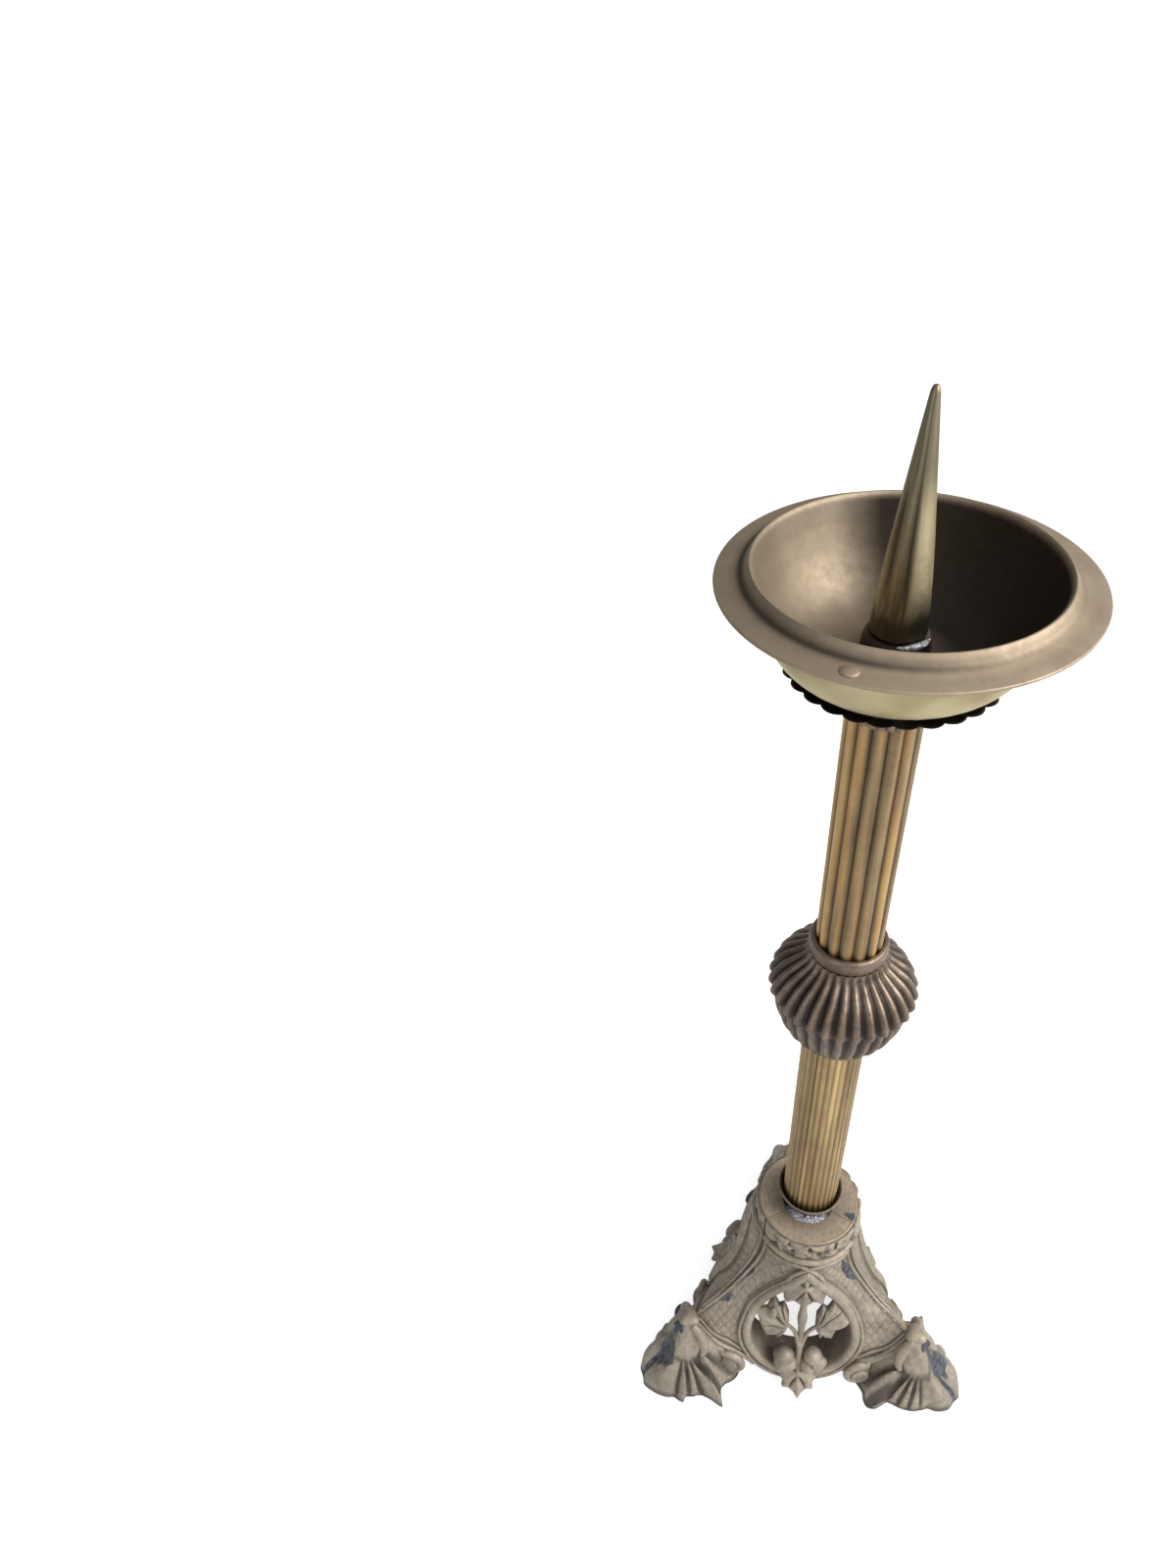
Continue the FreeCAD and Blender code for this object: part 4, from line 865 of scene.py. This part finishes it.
def face_spray(wall):
    """The ivy spray in the opening: a stem with a knuckle, two stalks with side leaves, a top
    leaf, two buds at the foot and a hanging leaf that leans out over the bottom of the ring."""
    def stalk(corners, lift, thick, sides=12):
        path = curve_through(corners, 34)
        return with_marks(cable(laid(wall, path, lift), thick(path[:, 1]), sides))

    def thinning(first, last):
        return lambda up: np.linspace(first, last, len(up))

    parts = [stalk([(0, 14), (0, 28), (0, 42), (0, 56), (0, 66), (0, 78), (0, 97)], 1.2,
                   lambda up: 1.9 + 1.0 * hump(up - 62, 5.5) + 0.3 * hump(up - 20, 8.0), 16)]
    for sign in (-1, 1):
        parts.append(stalk([(0, 35), (sign * 1.8, 43), (sign * 4.2, 50.5), (sign * 8.6, 55.5),
                            (sign * 14, 58)], 1.8, thinning(1.6, 1.0)))
        parts.append(stalk([(sign * 2.0, 21.5), (sign * 5.5, 19.4), (sign * 10.5, 19.8),
                            (sign * 14.4, 23.6)], 4.0, thinning(1.7, 1.1)))
    for across, up, lift, radii, lobes, depth, seed, recess in BOSSES:
        centre = laid(wall, np.array([[across, up]]), lift)[0]
        parts.append(with_marks(ball(centre, radii, 26, 36, lobes, depth, seed), recess=recess))
    parts += [leaf(LEFT_LEAF, 1.0, wall, 3.4, cup=-0.006), leaf(RIGHT_LEAF, 1.0, wall, 3.4, cup=-0.006)]
    parts += curl(wall, -1, 40.5) + curl(wall, 1, 36.0)
    parts += [leaf(TOP_LEAF, 1.2, wall, 3.2, cup=-0.004), hole_lining(wall)]
    parts.append(leaf(FOOT_LEAF, 1.4, wall, 3.4, flare=lambda z: unit((17.5 - z) / 15) ** 1.2 * 8.0))
    return parts


across, up, body, front, back, marks = face_wall()
for index, name in enumerate(("front", "right", "left")):
    wall = on_face(index * THIRD)
    plate = carved(across, up, body, front, back, marks, wall)
    bars = [bar_on(wall, *bar) for bar in BARS]
    show("face_" + name, joined([plate] + bars + face_spray(wall)), CAST, ["base_face_" + name], 55)
    marks["solder"] = 0 * marks["solder"]


# Feet: a leafy boss at each corner, drawn round a centre out along the corner

FOOT_CENTRE = 76.0
FOOT_RIM = [(109.5, 0), (109.6, 4.5), (107.2, 9.4), (104.0, 13.6), (100.0, 17.0), (96.4, 18.8),
            (94.8, 21.6), (92.8, 23.6), (90.2, 21.8), (86.0, 23.4), (81.6, 24.6), (77.6, 28.8),
            (72.4, 36.2), (70.2, 31.0), (68.2, 27.2), (64.0, 25.8), (60.5, 26.0), (55.0, 24.5),
            (51.0, 20.0), (49.0, 12.0), (48.4, 0)]
FOOT_SPINE = [(54.0, 0.0), (51.0, 0.10), (45.0, 0.20), (37.5, 0.30), (28.5, 0.41), (20.5, 0.52),
              (15.6, 0.64), (13.0, 0.74), (10.6, 0.84), (6.4, 0.94), (0.0, 1.0)]
FOOT_SIDE = [(54.0, 0.0), (50.5, 0.10), (44.5, 0.24), (38.0, 0.38), (31.0, 0.52), (24.0, 0.66),
             (17.5, 0.78), (10.5, 0.89), (5.0, 0.96), (0.0, 1.0)]
# Flutes fan out from a point on each half: their directions, widths in degrees and depths; then
# the ribs between them, and the outline of the lobe that stands over their start
FLUTE_FROM = (84.5, 8.5)
FLUTES = [(44, 8, 4.0), (76, 8.5, 5.0), (103, 6.5, 5.6), (125, 8, 6.2), (150, 8, 3.4)]
FOOT_RIBS = [(67, 8), (95, 6), (116, 6), (139, 7)]
FOOT_LOBE = [(78, -1.0), (84.0, 1.4), (88.0, 3.6), (90.6, 7.4), (87.6, 10.8), (83.6, 13.4), (79.6, 14.8),
             (75.6, 13.6), (73.0, 9.0), (72.5, -1.0)]
FOOT_RIM_WORN = [(107, 0), (107.6, 5), (105.0, 9), (101.0, 12.0), (97.0, 13.2), (94.2, 16.2),
                 (90.4, 19.8), (86.0, 22.0), (82.0, 23.2), (78.4, 23.6), (75.4, 24.4), (73.6, 28.0),
                 (70.4, 32.8), (66.4, 34.2), (63.0, 31.6), (61.0, 28.0), (58.0, 26.0), (54.0, 24.0),
                 (51.0, 20.0), (49.0, 12.0), (48.4, 0)]


def foot(turn, spreads, rims):
    """A leafy foot: at each angle round a centre 76 mm out, the way from the neck to the rim falls
    along a spline. Flutes dug in as depth * hump(angle, width) fan out from a point on each half;
    a lobe with a midrib and round bosses stand on it, two cables run down beside its neck, and
    inside it runs back 2.4 mm within. Each half's sideways sizes are taken times its own spread."""
    turns, rows = 420, 63
    angle = full_turn(turns)
    fold = np.degrees(np.minimum(angle, 2 * np.pi - angle))
    halves = []
    for line in rims:
        rim_line = curve_through(line, 400)
        at = np.degrees(np.arctan2(rim_line[:, 1], rim_line[:, 0] - FOOT_CENTRE))
        away = np.hypot(rim_line[:, 0] - FOOT_CENTRE, rim_line[:, 1])
        order = np.argsort(at)
        halves.append(np.interp(fold, at[order], away[order]))
    blend = unit(0.5 + np.sin(angle) * 4)
    rim = halves[0] * blend + halves[1] * (1 - blend)
    smooth = spline([(34.5, 0), (33, 25), (30, 50), (29, 75), (30, 100), (29, 125), (27.5, 155),
                     (27.5, 180)], fold)
    s, a = np.meshgrid(np.linspace(0, 1, rows + 1)[1:], angle, indexing="ij")
    toe = hump(fold, 34.0)
    drop = spline(FOOT_SPINE, s) * toe + spline(FOOT_SIDE, s) * (1 - toe)
    ease = s ** 1.4
    reach = (rim * ease + smooth * (1 - ease)) * s ** 0.92
    x = FOOT_CENTRE + reach * np.cos(a)
    y = reach * np.sin(a)
    side = np.abs(y)
    from_x, from_y = x - FLUTE_FROM[0], side - FLUTE_FROM[1]
    far = np.hypot(from_x, from_y)
    way = np.degrees(np.arctan2(from_y, from_x))
    lobe = inside(x, side, FOOT_LOBE)
    grown = unit(far / 13.0) ** 0.8 * np.clip((1.03 - s) / 0.10, 0.25, 1) * unit(0.3 - lobe / 1.6)
    cut = sum(depth * hump(way - heading, width) * grown for heading, width, depth in FLUTES)
    ribs = sum(1.3 * hump(way - heading, width) * grown for heading, width in FOOT_RIBS)
    drop = drop - cut + ribs
    pit = np.exp(-((x - 78.0) ** 2 / 20 + (side - 14.5) ** 2 / 12))
    pit = pit + 0.8 * np.exp(-((x - 87.0) ** 2 + (side - 15.0) ** 2) / 7)
    for centre_x, centre_y, size, rise in ((100.0, 9.5, 7.5, 5.5), (90, 5, 6, 2.0)):
        drop = drop + rise * np.exp(-((x - centre_x) ** 2 + (side - centre_y) ** 2) / size ** 2)
    drop = drop - 3.4 * pit * (lobe < 0.5)
    midrib = to_line(x, side, [(77.0, 4.5), (83.0, 7.4), (91.5, 8.4)])
    stands = 2.9 * np.sqrt(unit(lobe / 3.4)) + 0.9 * hump(midrib, 1.3) * unit(lobe)
    drop = drop + stands * unit((s - 0.03) / 0.12)
    drop = drop + 0.9 * hump(s - 0.955, 0.03)
    seam = hump(y, 0.6) * (s > 0.2) * (x > FOOT_CENTRE)
    drop = (drop - seam * 0.8) * unit((1 - s) / 0.035) ** 0.6
    drop = np.maximum(drop, 0) + 0.12 * lumps(x, y, 3.0, 21) * unit((1 - s) * 8)
    drop = np.maximum(drop, 0)
    spread = np.where(y > 0, spreads[0], spreads[1])
    y = y * (1 + (spread - 1) * unit(side / 12))
    within = np.clip(reach - 2.4, 0, None) / np.maximum(reach, 1e-6)
    outer = np.stack([x, y, drop], -1)
    inner = np.stack([FOOT_CENTRE + (x - FOOT_CENTRE) * within, y * within, np.maximum(drop - 2.6, 0)], -1)
    inner[-1, :, 2] = 0
    count = rows * turns
    points = np.vstack([outer.reshape(-1, 3), inner.reshape(-1, 3),
                        [[FOOT_CENTRE, 0, 54.0], [FOOT_CENTRE, 0, 50.0]]])
    out_quads = ring_quads(rows, turns, False, True)
    j = np.arange(turns)
    after = (j + 1) % turns
    last = count - turns
    rim_quads = np.stack([last + j, last + after, last + after + count, last + j + count], -1)
    tris = np.vstack([np.stack([np.full(turns, 2 * count), j, after], -1),
                      np.stack([np.full(turns, 2 * count + 1), count + after, count + j], -1)])
    quads = np.vstack([out_quads[:, ::-1], out_quads + count, rim_quads[:, ::-1]])
    # Painted shade in the hollows, flutes and pits, along the seam's groove and round the lobe; the inside
    # of the foot gets 0.7 of it.
    shade_amount = unit((blurred(drop, 6) - drop) * 0.35 + cut * 0.22 - 0.05 + 0.75 * pit)
    shade_amount = np.maximum(np.maximum(shade_amount, seam * 0.9), 0.7 * hump(lobe + 0.8, 1.0))
    ragged = 1.0 + 0.5 * lumps(x, y, 4.0, 22)
    strip = unit(1.2 - np.abs(y + 0.6) / (2.2 * ragged)) * (s > 0.05) * (x > FOOT_CENTRE)
    blob = unit(1.3 - np.hypot((x - 93) / 6.5, (y - 3.0) / 6.0) * (1 + 0.4 * lumps(x, y, 3.0, 23)))
    solder = np.maximum(strip * 0.95, blob * (spreads[0] > 0.95))
    marks = {"recess": np.concatenate([shade_amount.ravel(), np.full(count, 0.7), [0, 0.7]]),
             "solder": np.concatenate([solder.ravel(), np.zeros(count), [0, 0]]),
             "worn": np.zeros(2 * count + 2)}
    parts = [(points, quads, tris, marks)]
    for sign, spread in ((1, spreads[0]), (-1, spreads[1])):
        tip = curve_through([(76.5, sign * 5.0, 52.5), (74.4, sign * 8.6, 48.5), (73.2, sign * 11.6, 42.5),
                             (73.4, sign * 13.6, 36.0), (75.4, sign * 14.8, 30.5)], 30)
        tip[:, 1] *= spread
        thick = 1.3 + 1.9 * np.sin(np.pi * np.linspace(0.12, 0.97, 30))
        parts.append(with_marks(cable(tip, thick, 16), worn=0.06))
    parts.append(with_marks(ball((76.2, 0, 52.6), (5.8, 5.6, 3.2), 22, 36, 3, 0.14, 2), worn=0.14))
    points, quads, tris, kept = joined(parts)
    return turned(points[:, 0], points[:, 1], np.maximum(points[:, 2], 0), turn), quads, tris, kept


for label, turn, spreads, rims in (("right_front", -30, (1.0, 0.94), (FOOT_RIM, FOOT_RIM_WORN)),
                                   ("left_front", 210, (1.0, 0.86), (FOOT_RIM, FOOT_RIM_WORN)),
                                   ("back", 90, (0.86, 0.86), (FOOT_RIM_WORN, FOOT_RIM_WORN))):
    show("foot_" + label, foot(math.radians(turn), spreads, rims), CAST, (), 70)


# Solder over the corner seams, from the plate down to the toes

SEAM_LINE = curve_through([(28.4, 131.1), (28.1, 117.7), (28.1, 105.7), (29.6, 96.7), (33.1, 87.7),
                           (38.6, 79.7), (45.6, 71.7), (54.6, 63.7), (66.0, 57.2)], 70)
seams = []
for k, degrees in enumerate((-30, 210, 90)):
    turn = math.radians(degrees)
    path = turned(SEAM_LINE[:, 0], 0, SEAM_LINE[:, 1], turn)
    seams.append((*cable(path, np.linspace(0.55, 0.8, len(path)), 10, seed=20 + k), {}))
    lump_at = (81.0 * math.cos(turn), 81.0 * math.sin(turn), 47.0)
    seams.append((*ball(lump_at, (4.2, 4.2, 4.0), 16, 20, 4, 0.2, 30 + k), {}))
show("seam_solder", joined(seams), SEAM, ["corner_solder"])


# The plate on top of the faces

def plate_ribs(angle, row):
    """Three shallow seams where the castings meet, at the corners."""
    apart = np.abs((angle - math.radians(90) + math.pi / 3) % THIRD - math.pi / 3)
    return 0 * angle, -0.22 * hump(apart * 24, 0.4) * np.isin(row, top_rows)


plate_line = rounded([(6, 128.6), (26.6, 128.6), (27.6, 130.6), (27.4, 132.3), (26.2, 132.0),
                      (14, 132.0), (6, 132.0)], [0.4, 0.6, 0.8, 0.6, 0.6, 0.4, 0.4], 4)
top_rows = np.nonzero(plate_line[:, 1] > 131.5)[0]
points, quads, tris = spun(plate_line, 900, plate_ribs)
r = off_axis(points)
apart = np.abs((bearing(points) - 90 + 60) % 120 - 60)
groove = hump(np.radians(apart) * 24, 0.5) * (r > 13)
spot = unit(1.2 - np.hypot(points[:, 0] - 22.5, points[:, 1] + 9.5) / 3.6)
# Painted shade in the corner seams and round the column's foot.
marks = {"recess": groove * 0.4 + 0.5 * (r < 16.5), "solder": spot, "worn": 0.12 * (r > 26.6)}
show("top_plate", (points, quads, tris, marks), PLATE, (), 60, "cast_brass")


# Column

def shell(name, corners, reach, material, nodes, turns=160, steps=5, dark=None, slot=None):
    """A turned ring; dark(radius, height, angle) gives its painted shade."""
    points, quads, tris = spun(rounded(corners, reach, steps), turns)
    stain_and_shade = 0 * points[:, 0]
    if dark:
        stain_and_shade = dark(off_axis(points), points[:, 2], np.radians(bearing(points)))
    show(name, (points, quads, tris, {"recess": unit(stain_and_shade)}), material, nodes, slot=slot)


shell("copper_spacer", [(4.6, 132.05), (12.6, 132.05), (12.6, 138), (4.6, 138)], 0.5, COPPER,
      ["socket_spacer"])


def solder_ribs(angle, row):
    """Crumbs: random lumps that are higher at the front, where the solder stands proud."""
    front = unit(np.cos(angle + math.radians(101)) * 1.6 - 0.5)
    rough = lumps(np.cos(angle) * 24, np.sin(angle) * 24 + row * 1.7, 1.3, 8)
    return (0.25 + 0.9 * front) * rough + 0.5 * front, (0.10 + 0.5 * front) * np.abs(rough) * (row > 6)


line = rounded([(12.4, 132.0), (14.6, 132.0), (13.6, 133.2), (12.8, 134.4), (12.4, 134.4)], 0.5, 5)
points, quads, tris = spun(line, 420, solder_ribs)
points[:, 2] = np.clip(points[:, 2], 132.0, 136)
# Painted shade all round but at the front, so the solder stays bright only there as a painted highlight.
front = np.cos(np.arctan2(points[:, 1], points[:, 0]) + math.radians(101))
marks = {"recess": np.clip(1.25 - np.clip(front * 3.0 - 1.6, 0, 1.25), 0, 1.2)}
show("bright_solder", (points, quads, tris, marks), BRIGHT, ["socket_solder"])

# Painted shadow inside the cup; its lower part is darker as well.
shell("flared_cup", [(4.6, 138.0), (13.6, 138.0), (14.8, 141.0), (17.7, 146.6), (17.5, 147.5),
                     (16.7, 147.3), (14.4, 142.2), (14.3, 140.4), (4.6, 140.4)],
      [0.4, 0.9, 1.4, 0.5, 0.4, 0.4, 1.2, 0.4, 0.4], CUP, ["socket_cup"], 200,
      dark=lambda r, z, a: np.where((r < 14.0 + (z - 140.4) * 0.36) & (z > 140.3) & (z < 147.2), 1.1,
                                    0.55 * (z < 143)), slot="cast_brass")


def fluted(name, radius, low, high, count, depth, sharp, material, nodes, seam=None):
    """A tube with grooves along it: radius - depth * (1 - |cos(count*angle/2)|^sharp), smooth at
    both ends over the last millimetre, with a plain bore. A folded seam, if any, is a pair of
    narrow dips beside its angle."""
    turns = count * 14
    line = np.array([(radius - 1.6, low), (radius - 0.6, low), (radius, low + 0.7)]
                    + [(radius, z) for z in np.linspace(low + 2.0, high - 2.0, 24)]
                    + [(radius, high - 0.7), (radius - 0.6, high), (radius - 1.6, high)])
    angle = full_turn(turns)
    crest = np.abs(np.cos(count * angle / 2)) ** sharp
    if seam is not None:
        off = radius * ((angle - math.radians(seam) + math.pi) % (2 * math.pi) - math.pi)
        crest = crest - 0.9 * hump(np.abs(off) - 1.1, 0.35)

    def ribs(a, row):
        outside = (row > 1) & (row < len(line) - 2)
        return -depth * (1 - crest)[None, :] * outside, 0 * a * row
    points, quads, tris = spun(line, turns, ribs)
    sunk = radius - off_axis(points)
    # Painted shade in the grooves.
    recess = unit(sunk / depth) ** 1.2 * (sunk < 2.4)
    show(name, (points, quads, tris, {"recess": recess}), material, nodes, 60)


fluted("lower_tube_flutes", 14.7, 140.4, 297.4, 30, 0.5, 1.0, LOWER, ["lower_tube"], 231)
fluted("upper_tube_reeds", 14.5, 352.5, 483.5, 14, 1.25, 0.9, UPPER, ["upper_tube"])


def pleated(name, rows, levels, count, depth, sharp, nodes, inside_dark=0.9):
    """A pleated shell 0.9 mm thick through (radius, height, pleat depth) rows: its radius swings
    between the crest and the crest less the pleat's depth, as (1 - |cos(count*angle/2)|^sharp)
    times the depth at each level; the inside follows it."""
    turns = count * 12
    valley = 1 - np.abs(np.cos(count * full_turn(turns) / 2)) ** sharp
    outer = curve_through(rows, levels)
    line = np.vstack([outer[:, :2], (outer[:, :2] - [0.9, 0])[::-1]])
    depths = np.concatenate([outer[:, 2], outer[::-1, 2]])

    def ribs(a, row):
        return -depths[:, None] * valley[None, :], 0 * a * row
    points, quads, tris = spun(line, turns, ribs)
    # Painted shade in the valleys of the pleats and over the inside.
    recess = (np.repeat(np.minimum(depths / depth, 1)[:, None], turns, 1) * valley[None, :]).ravel()
    recess[levels * turns:] = inside_dark
    show(name, (points, quads, tris, {"recess": unit(recess * 1.3)}), DARK, nodes, 60)


pleated("knop_lower_pleats", [(17.0, 290.0, 0.9), (18.2, 292.6, 1.2), (21.3, 296.6, 1.7),
                              (25.6, 303.0, 2.0), (28.9, 311.0, 2.1), (30.8, 319.6, 2.1),
                              (31.2, 325.9, 2.1)], 30, 30, 2.1, 1.7, ["knop_lower_shell"])
pleated("knop_upper_pleats", [(32.4, 324.6, 1.8), (33.2, 325.8, 2.2), (33.3, 327.8, 2.2),
                              (31.6, 332.4, 2.2), (27.8, 338.4, 2.0), (22.4, 343.4, 1.6),
                              (18.4, 347.2, 1.2), (17.0, 350.4, 0.8)],
        34, 30, 2.2, 1.7, ["knop_upper_shell"])
shell("knop_ring", [(14.7, 350.5), (16.2, 350.5), (17.2, 352.0), (17.2, 356.8), (16.2, 358.5),
                    (14.7, 358.5)],
      [0.3, 0.6, 1.6, 1.6, 0.6, 0.3], DARK, ["knop_collar"], 180, 7)
pleated("crown_pleats", [(15.4, 483.6, 0.7), (16.9, 487.5, 1.1), (21.9, 492.5, 1.7), (28.6, 497.5, 2.1),
                         (35.3, 501.3, 2.0), (39.2, 503.3, 1.7)], 30, 28, 2.1, 0.8, ["crown_cup"], 0.74)


# Drip pan and spike

PAN_STEPS, PAN_TURNS = 7, 300
pan_line = rounded([(4.6, 503.1), (28.0, 503.2), (36.0, 504.6), (43.0, 511.0), (48.5, 522.0), (51.4, 532.6),
                    (57.0, 533.4), (63.0, 534.3), (63.2, 535.6), (56.6, 536.6), (53.6, 537.9),
                    (52.4, 540.4), (51.4, 541.8), (50.2, 540.6), (49.4, 536.5), (48.0, 530.0),
                    (44.0, 520.0), (36.0, 510.5), (27.0, 506.6), (4.6, 506.1)],
                   [0.5, 4, 5, 5, 6, 2.4, 2, 0.5, 0.6, 2.4, 2.2, 1.6, 0.8, 1.2, 3, 5, 6, 6, 5, 0.5],
                   PAN_STEPS)
points, quads, tris = spun(pan_line, PAN_TURNS)
row = np.arange(len(points)) // PAN_TURNS
corner_at = row // PAN_STEPS
in_bowl = (corner_at >= 12) * 1.0
from_axis = off_axis(points)
# Painted shade in the pan: the bowl darker towards its right, darker round the spike's foot and a little
# all over; a painted shadow along the foot of the lip, stronger on the left.
to_right = (points[:, 0] * 0.93 + points[:, 1] * 0.36) / 50
soot = in_bowl * unit((to_right + 0.12) / 0.42) * unit((541.4 - points[:, 2]) / 2.6)
lip_foot_shadow = hump(from_axis - 54.2, 1.3) * (row > 8 * PAN_STEPS) * (points[:, 2] > 535)
for dark in (in_bowl * 0.55 * unit((18 - from_axis) / 5),
             lip_foot_shadow * np.clip(0.5 - 0.5 * to_right, 0.25, 0.85), 0.16 * in_bowl):
    soot = np.maximum(soot, dark)
# Painted reflection of the pale floor on the underside, clouded with brown stains.
olive = (corner_at < 8) * unit((533.2 - points[:, 2]) / 2)
show("drip_pan_dish", (points, quads, tris, {"soot": soot, "olive": olive}), PAN, ["drip_pan"])
rivet_at = math.radians(247)
rivet = ball((57.4 * math.cos(rivet_at), 57.4 * math.sin(rivet_at), 536.1), (3.5, 3.5, 0.9), 14, 30)
show("flange_rivet", (*rivet, {}), PAN, ["pan_rivet"])
# Painted shade all round the collar but on its right side, which stays light as a painted highlight.
shell("pricket_foot_ring", [(4.6, 506.2), (12.2, 506.2), (12.0, 512.6), (10.8, 515.6), (4.6, 515.6)],
      [0.3, 0.6, 2.0, 1.2, 0.3], DARK, ["pricket_collar"],
      dark=lambda r, z, a: 1.05 - 1.2 * unit(np.cos(a - 0.3) * 2.2 - 1.2), slot="pan_brass")
spike_line = rounded([(0, 515.7), (9.3, 515.7), (9.8, 516.6), (9.4, 524.0), (7.6, 545.0), (5.0, 568.0),
                      (2.5, 590.0), (1.5, 598.4), (0.8, 599.9), (0, 600.0)],
                     [0, 0.3, 0.6, 4, 8, 8, 4, 1.0, 0.5, 0], 5, closed=False)
points, quads, tris = spun(spike_line, 160, closed=False)
round_at, up = bearing(points), points[:, 2]
# Painted shade on the side turned from the light, leaving a strip on the right front where the light streak
# colours stand as a painted highlight; besides, a dark streak at the front low down, and darker near the
# pan and towards the tip.
away_from_light = unit((np.abs((round_at + 50 + 180) % 360 - 180) - 31) / 10)
stain_and_shade = away_from_light * (0.80 + 0.22 * lumps(round_at / 9, up * 0.05, 1.0, 31))
ragged = 2.5 * lumps(round_at / 14, 0 * up, 1.0, 33)
for dark in (0.95 * hump(round_at + 96, 9) * unit((572 - up) / 25),
             unit((534.5 + ragged - up) / 11), 0.80 * unit((up - 554) / 20)):
    stain_and_shade = np.maximum(stain_and_shade, dark)
# A bright solder bead on the collar's right front only, put there as a painted glint.
bead_turn = np.radians(np.linspace(-98, -28, 40))
bead = cable(np.stack([11.2 * np.cos(bead_turn), 11.2 * np.sin(bead_turn), 0 * bead_turn + 515.7], -1),
             0.35 + 0.85 * np.sin(np.linspace(0, np.pi, 40)), 14, seed=41)
show("collar_solder", (*bead, {"recess": np.full(len(bead[0]), 0.1)}), BRIGHT)
show("pricket_spike", (points, quads, tris, {"recess": unit(stain_and_shade)}), SPIKE, ["pricket"])

# The hidden pieces show their solids
HARDWARE = ("base_washer", "base_nut", "lower_tube_foot_disc", "lower_tube_top_disc", "knop_sleeve",
            "upper_tube_foot_disc", "upper_tube_top_disc", "tie_rod")
for name, material in [(name, STEEL) for name in HARDWARE] + [("pan_support", PAN)]:
    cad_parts[name].data.materials.clear()
    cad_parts[name].data.materials.append(material)


# Floor, light and camera

def floor_material():
    """White that keeps the stand's shadow; the camera sees it a little lighter than it is lit."""
    made, tree = bare_material("studio_floor")
    seen = node(tree, "ShaderNodeLightPath").outputs["Is Camera Ray"]
    matt = node(tree, "ShaderNodeBsdfDiffuse", {"Color": (0.86, 0.86, 0.86, 1)})
    glow = node(tree, "ShaderNodeEmission", {"Color": (1, 1, 1, 1),
                                             "Strength": math_node(tree, "MULTIPLY", seen, 0.72)})
    both = node(tree, "ShaderNodeAddShader", {0: matt.outputs[0], 1: glow.outputs[0]})
    node(tree, "ShaderNodeOutputMaterial", {0: both.outputs[0]})
    return made


floor_mesh = bpy.data.meshes.new("floor")
floor_mesh.from_pydata([(-6, -6, 0), (6, -6, 0), (6, 6, 0), (-6, 6, 0)], [], [(0, 1, 2, 3)])
floor_mesh.materials.append(floor_material())
placed("floor", floor_mesh)


def lamp(name, place, aim, size, power, colour):
    """A rectangular lamp at a place, turned to what it aims at."""
    light = bpy.data.lights.new(name, "AREA")
    light.shape = "RECTANGLE"
    light.size, light.size_y = size
    light.energy = power
    light.color = colour
    made = placed(name, light)
    made.location = place
    made.rotation_euler = (Vector(aim) - Vector(place)).to_track_quat("-Z", "Y").to_euler()


lamp("key", (1.05, -0.35, 1.15), (0, 0, 0.35), (1.1, 1.1), 22, (1.0, 0.98, 0.95))
lamp("fill", (-0.9, -1.2, 0.7), (0, 0, 0.15), (0.9, 0.9), 3, (0.95, 0.98, 1.0))

# A studio that is bright on the right and overhead, and dark at the back left
world = bpy.data.worlds.new("studio")
bpy.context.scene.world = world
world.use_nodes = True
tree = world.node_tree
tree.nodes.clear()
way = node(tree, "ShaderNodeTexCoord").outputs["Generated"]
toward = node(tree, "ShaderNodeVectorMath", {0: way, 1: (0.86, -0.40, 0.32)}, operation="DOT_PRODUCT")
shade = range_node(tree, toward.outputs["Value"], -0.5, 0.9, 0.13, 0.85)
seen = node(tree, "ShaderNodeLightPath").outputs["Is Camera Ray"]
grey = node(tree, "ShaderNodeCombineColor", {0: shade, 1: shade, 2: shade}).outputs[0]
back = node(tree, "ShaderNodeBackground", {"Color": blend_node(tree, seen, grey, (1, 1, 1, 1))})
node(tree, "ShaderNodeOutputWorld", {0: back.outputs[0]})

bpy.context.scene.view_settings.view_transform = "Standard"

# The photo's camera: its place, the way it looks, its roll and its focal length in photo pixels
PLACE = Vector((-0.06372, -0.32247, 0.72724))
AHEAD = Vector((-0.10669, 0.74531, -0.6581)).normalized()
ROLL = math.radians(-4.026)
FOCAL, PHOTO_HEIGHT = 1119.4, 1600
camera_data = bpy.data.cameras.new("camera")
camera_data.sensor_width = 36
camera_data.lens = FOCAL / PHOTO_HEIGHT * camera_data.sensor_width
camera = placed("camera", camera_data)
level = AHEAD.cross(Vector((0, 0, 1))).normalized()
upright = level.cross(AHEAD)
level, upright = (level * math.cos(ROLL) + upright * math.sin(ROLL),
                  upright * math.cos(ROLL) - level * math.sin(ROLL))
turn = Matrix((level, upright, -AHEAD)).transposed().to_4x4()
camera.matrix_world = Matrix.Translation(PLACE) @ turn
bpy.context.scene.camera = camera
